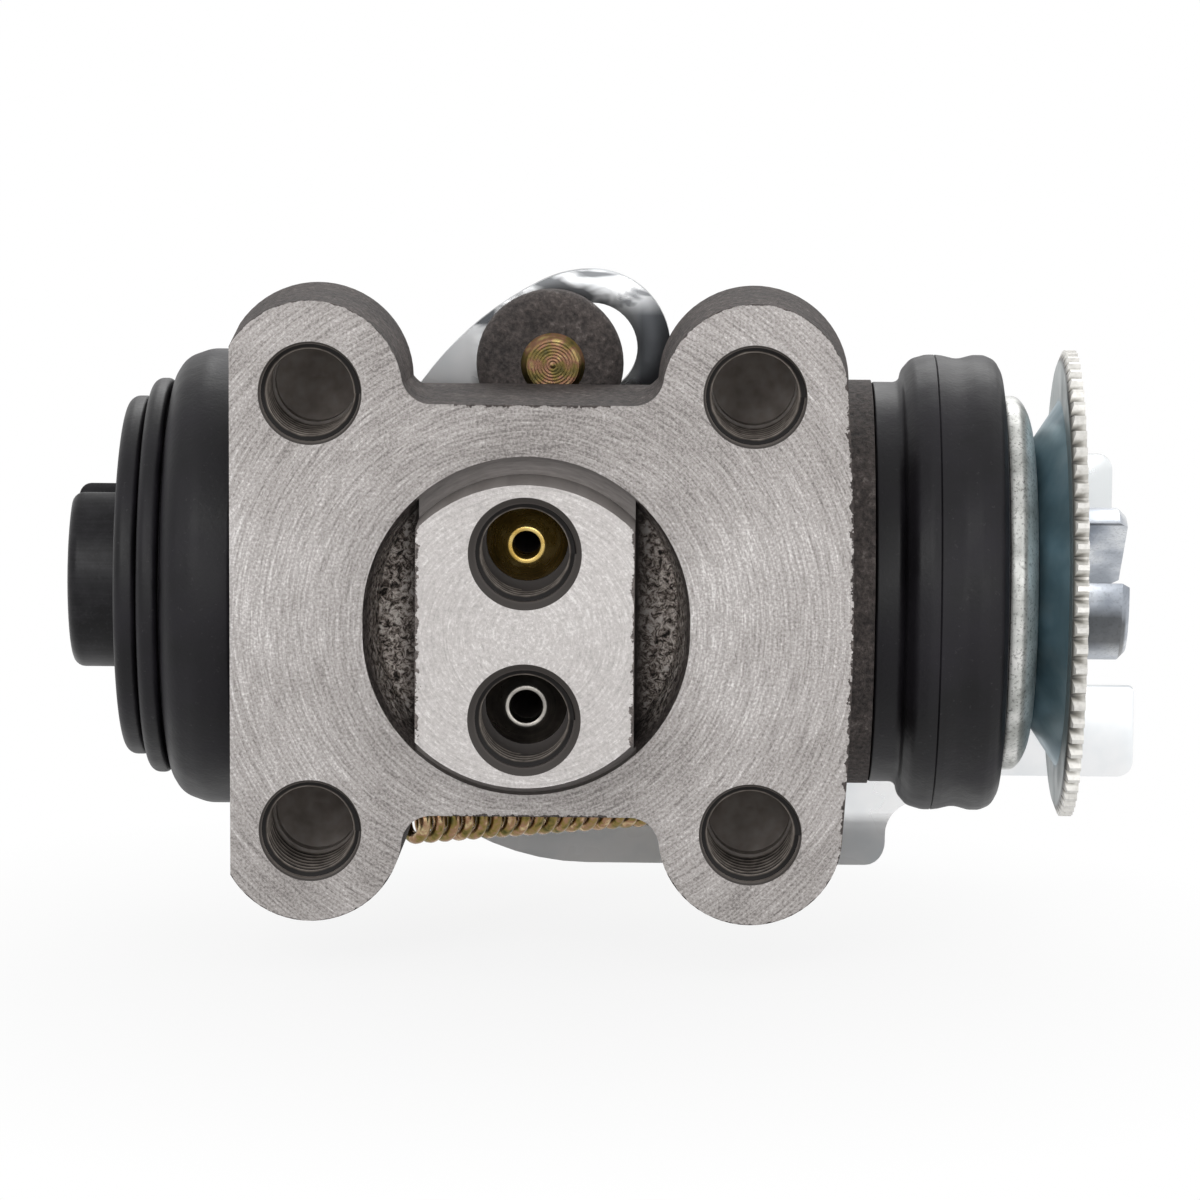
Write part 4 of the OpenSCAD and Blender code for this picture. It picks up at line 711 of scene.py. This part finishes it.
# thread ridges: a diamond section on a helix, copied along a row of holes
def makeThreadTree():
    tree, given = newTree("threadRidges", {
        "Radius": "Float", "Ridge": "Float", "Turns": "Float", "Length": "Float", "Copies": "Int", "Start": "Vector",
        "Spacing": "Vector", "Turn": "Vector", "Finish": "Material"})
    steps = put(tree, "Math", {0: given["Turns"], 1: 48.0}, operation="MULTIPLY")
    helix = put(tree, "GeometryNodeCurveSpiral", {
        "Resolution": steps, "Rotations": given["Turns"], "Start Radius": given["Radius"],
        "End Radius": given["Radius"], "Height": given["Length"]})
    level = put(tree, "GeometryNodeSetCurveNormal", {"Curve": helix}, mode="Z_UP")
    section = put(tree, "GeometryNodeCurvePrimitiveCircle", {
        "Resolution": 4, "Radius": given["Ridge"]}, out="Curve", mode="RADIUS")
    ridge = put(tree, "GeometryNodeCurveToMesh", {"Curve": level, "Profile Curve": section, "Fill Caps": True})
    turned = put(tree, "GeometryNodeTransform", {"Geometry": ridge, "Rotation": given["Turn"]})
    row = put(tree, "GeometryNodeMeshLine", {
        "Count": given["Copies"], "Start Location": given["Start"], "Offset": given["Spacing"]}, mode="OFFSET")
    copies = put(tree, "GeometryNodeInstanceOnPoints", {"Points": row, "Instance": turned})
    return closeTree(tree, copies, given["Finish"])


threadTree = makeThreadTree()
# tapped holes of the casting, each row with its first hole; the ports' 1 mm pitch is drawn coarser, to show
boltThread = {"radius": 6.0, "ridge": 0.66, "pitch": 1.75, "length": 12.3, "spacing": 2 * boltAt}
threads = {
    "boltThreadsLeft": {**boltThread, "start": (-boltAt, 0.6, -boltAt)},
    "boltThreadsRight": {**boltThread, "start": (boltAt, 0.6, -boltAt)},
    "portThreads": {
        "radius": 6.0, "ridge": 0.64, "pitch": 1.5, "length": 5.6, "spacing": portZ[1] - portZ[0],
        "start": (pilotX, -6.9, portZ[0])},
}
for name, t in threads.items():
    piece = growPiece(name, threadTree, {
        "Radius": t["radius"] * mm, "Ridge": t["ridge"] * mm, "Turns": t["length"] / t["pitch"],
        "Length": t["length"] * mm, "Copies": 2, "Start": [c * mm for c in t["start"]],
        "Spacing": [0, 0, t["spacing"] * mm], "Turn": [math.radians(-90), 0, 0], "Finish": finishes["tappedIron"]})
    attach(piece, "cylinder")
print("threads made:", len(threads))

# turned end of the pivot bolt: tool rings and the nib left at its centre
boltEnd = {
    "x": 1.95, "y": 22.3, "z": 28.1, "r": 3.2, "rings": 7, "ringSteps": 6, "depth": 0.024, "nib": 0.24, "nibR": 0.18,
    "nibFoot": 0.42, "ringsFrom": 0.45, "back": 0.1,
}


def makeBoltEnd(b, segments=72):
    profile = [(0.0, -b["nib"]), (b["nibR"], -b["nib"]), (b["nibFoot"], -0.04)]
    steps = b["rings"] * b["ringSteps"]
    for i in range(steps + 1):
        wave = 0.5 - 0.5 * math.cos(2 * math.pi * i / b["ringSteps"])
        profile.append((b["ringsFrom"] + (b["r"] - b["ringsFrom"]) * i / steps, -0.05 - b["depth"] * wave))
    profile += [(b["r"], b["back"]), (0.0, b["back"])]
    count = len(profile)
    points, faces = [], []
    for k in range(segments):
        a = 2 * math.pi * k / segments
        points += [(b["x"] + r * math.cos(a), b["y"] + y, b["z"] + r * math.sin(a)) for r, y in profile]
        here, after = k * count, (k + 1) % segments * count
        faces += [(here + i, here + i + 1, after + i + 1, after + i) for i in range(count - 1)]
    return meshPiece("boltEndRings", points, faces, "boltZinc", 60)


piece = makeBoltEnd(boltEnd)
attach(piece, "cylinder")


# round wire along a line of points
def makeWireTree():
    tree, given = newTree("wireAlongPath", {"Wire": "Float", "Sides": "Int", "Finish": "Material"})
    path = put(tree, "GeometryNodeMeshToCurve", {"Mesh": given["Geometry"]})
    section = put(tree, "GeometryNodeCurvePrimitiveCircle", {
        "Resolution": given["Sides"], "Radius": given["Wire"]}, out="Curve", mode="RADIUS")
    wire = put(tree, "GeometryNodeCurveToMesh", {"Curve": path, "Profile Curve": section, "Fill Caps": True})
    return closeTree(tree, wire, given["Finish"])


wireTree = makeWireTree()


def wirePiece(name, path, wire, finish, sides=14):
    line = bpy.data.meshes.new(name + "Line")
    edges = [(i, i + 1) for i in range(len(path) - 1)]
    line.from_pydata([tuple(c * mm for c in p) for p in path], edges, [])
    return growPiece(name, wireTree, {"Wire": wire * mm, "Sides": sides, "Finish": finishes[finish]}, line)


# lever spring: close coils between the pin in the flange and the hole in the lever
leverSpring = {
    "pin": (-20.3, 24.4, -32.3), "pinR": 1.2, "hole": (24.0, 68.9, -35.4), "wire": 0.8, "coilR": 2.4, "turns": 21,
    "plate": 2.0, "fromPin": (4, 3.6, 1.2), "toHole": (-3.2, -3.36, 0), "hookGap": 0.15, "tailUp": 0.27,
}


def leverSpringPath(s):
    pin, hole = Vector(s["pin"]), Vector(s["hole"])
    start = pin + Vector(s["fromPin"])
    end = hole + Vector(s["toHole"])
    along = (end - start).normalized()
    out = along.cross(Vector((0, 0, 1))).normalized()
    up = out.cross(along)
    hookR = s["pinR"] + s["wire"] + s["hookGap"]
    path = []
    for turn in range(-150, 61, 15):
        a = math.radians(turn)
        path.append(Vector((pin.x - hookR * math.cos(a), pin.y, pin.z + hookR * math.sin(a))))
    steps = s["turns"] * coilSteps
    for i in range(steps + 1):
        a = 2 * math.pi * i / coilSteps
        path.append(start + (end - start) * i / steps + (up * math.cos(a) + out * math.sin(a)) * s["coilR"])
    # the tail goes through the lever and turns up behind it
    tail = hole.z + s["tailUp"]
    back = hole.y + s["plate"]
    path += [Vector((hole.x, hole.y - 0.8, tail)), Vector((hole.x, back, tail)),
             Vector((hole.x + 0.4, back + 1.2, tail + 0.8)), Vector((hole.x + 0.4, back + 1.2, tail + 3.2))]
    return path, start, end


path, start, end = leverSpringPath(leverSpring)
piece = wirePiece("leverSpringWire", path, leverSpring["wire"], "yellowZinc")
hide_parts("lever_spring")
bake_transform(piece)

# cup spring: two halves, each running from the middle out to its own piston, with a closed last turn
cupSpring = {"end": 11.44, "coilR": 8.2, "wire": 0.8, "turns": 6}


def cupSpringPath(s, side):
    half = s["turns"] / 2
    path = []
    for i in range(int(half * coilSteps) + 1):
        lead = min(i / (half * coilSteps) * half / (half - 1), 1)
        a = 2 * math.pi * i / coilSteps * side
        path.append((side * s["end"] * lead, boreY + s["coilR"] * math.cos(a), boreZ + s["coilR"] * math.sin(a)))
    return path


for name, side, body in (("cupSpringLeft", -1, "left_plunger"), ("cupSpringRight", 1, "right_plunger")):
    s = cupSpring
    piece = wirePiece(name, cupSpringPath(s, side), s["wire"], "springSteel", 10)
    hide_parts("cup_spring")
    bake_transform(piece)
print("springs made")

# floor, light and camera
stage = {"half": 12.0, "gap": 0.0004}  # metres
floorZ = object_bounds()[0][2] - stage["gap"]
corners = [(sx * stage["half"], sy * stage["half"], floorZ) for sx, sy in ((-1, -1), (1, -1), (1, 1), (-1, 1))]
mesh = bpy.data.meshes.new("floor")
mesh.from_pydata(corners, [], [(0, 1, 2, 3)])
floor = bpy.data.objects.new("floor", mesh)
scene.collection.objects.link(floor)


# mask of the rays that see the stage straight, by reflection or through a surface
def seenDirectly(tree):
    rays = put(tree, "LightPath", out=None).outputs
    seen = put(tree, "Math", {0: rays["Is Camera Ray"], 1: rays["Is Glossy Ray"]}, operation="MAXIMUM")
    return put(tree, "Math", {0: seen, 1: rays["Is Transmission Ray"]}, operation="MAXIMUM")


# pale paper floor: white where it is seen, with the object's shadow kept near it
paper, tree, where = newFinish("pale paper floor")
away = put(tree, "VectorMath", {0: where}, out="Value", operation="LENGTH")
share = put(tree, "MapRange", {"Value": away, "From Min": 0.05, "From Max": 0.115, "To Min": 0.87, "To Max": 1.0})
share = put(tree, "Math", {0: seenDirectly(tree), 1: share}, operation="MULTIPLY")
matte = put(tree, "BsdfDiffuse", {"Color": "#ececec"})
white = put(tree, "Emission", {"Color": "#ffffff", "Strength": 1.0})
put(tree, "OutputMaterial", {"Surface": put(tree, "MixShader", {0: share, 1: matte, 2: white})}, out=None)
mesh.materials.append(paper)

world = bpy.data.worlds.new("studio")
scene.world = world
world.use_nodes = True
tree = world.node_tree
tree.nodes.clear()
strength = put(tree, "MapRange", {"Value": seenDirectly(tree), "To Min": 0.45, "To Max": 1.0})
sky = put(tree, "Background", {"Color": "#ffffff", "Strength": strength})
put(tree, "OutputWorld", {"Surface": sky}, out=None)

lamps = {  # place and aim in metres, size and watts of each soft box
    "keyLamp": {"place": (-0.40, -0.85, 0.50), "aim": (0, 0.02, 0), "size": 0.6, "watts": 3.4},
    "fillLamp": {"place": (0.70, -0.75, 0.20), "aim": (0, 0.02, 0), "size": 0.7, "watts": 2.0},
    "lowLamp": {"place": (0.05, -0.95, 0.09), "aim": (0, 0.02, -0.01), "size": 0.25, "watts": 0.8},
    "backLamp": {"place": (0.1, 0.7, 0.6), "aim": (0, 0.04, 0), "size": 0.6, "watts": 2.2},
}
for name, box in lamps.items():
    data = bpy.data.lights.new(name, "AREA")
    data.shape = "SQUARE"
    data.size = box["size"]
    data.energy = box["watts"]
    lamp = bpy.data.objects.new(name, data)
    lamp.location = box["place"]
    lamp.rotation_euler = (Vector(box["aim"]) - Vector(box["place"])).to_track_quat("-Z", "Y").to_euler()
    scene.collection.objects.link(lamp)

view = {  # camera fitted to the photo: place and lens in mm, angles in radians
    "place": (17.19, -658.07, 106.31), "tilt": 0.1572, "pan": 0.0134, "roll": 0.0074, "lens": 164.18, "sensor": 36.0,
}
level = math.cos(view["tilt"])
ahead = Vector((-math.sin(view["pan"]) * level, math.cos(view["pan"]) * level, -math.sin(view["tilt"])))
right = Vector((math.cos(view["pan"]), math.sin(view["pan"]), 0))
up = right.cross(ahead)
c, s = math.cos(view["roll"]), math.sin(view["roll"])
right, up = right * c + up * s, up * c - right * s
data = bpy.data.cameras.new("photoView")
data.lens = view["lens"]
data.sensor_width = view["sensor"]
data.clip_end = 50.0
camera = bpy.data.objects.new("photoView", data)
turn = [[right[i], up[i], -ahead[i], view["place"][i] * mm] for i in range(3)]
camera.matrix_world = Matrix(turn + [[0, 0, 0, 1]])
scene.collection.objects.link(camera)
scene.camera = camera
print("stage set")
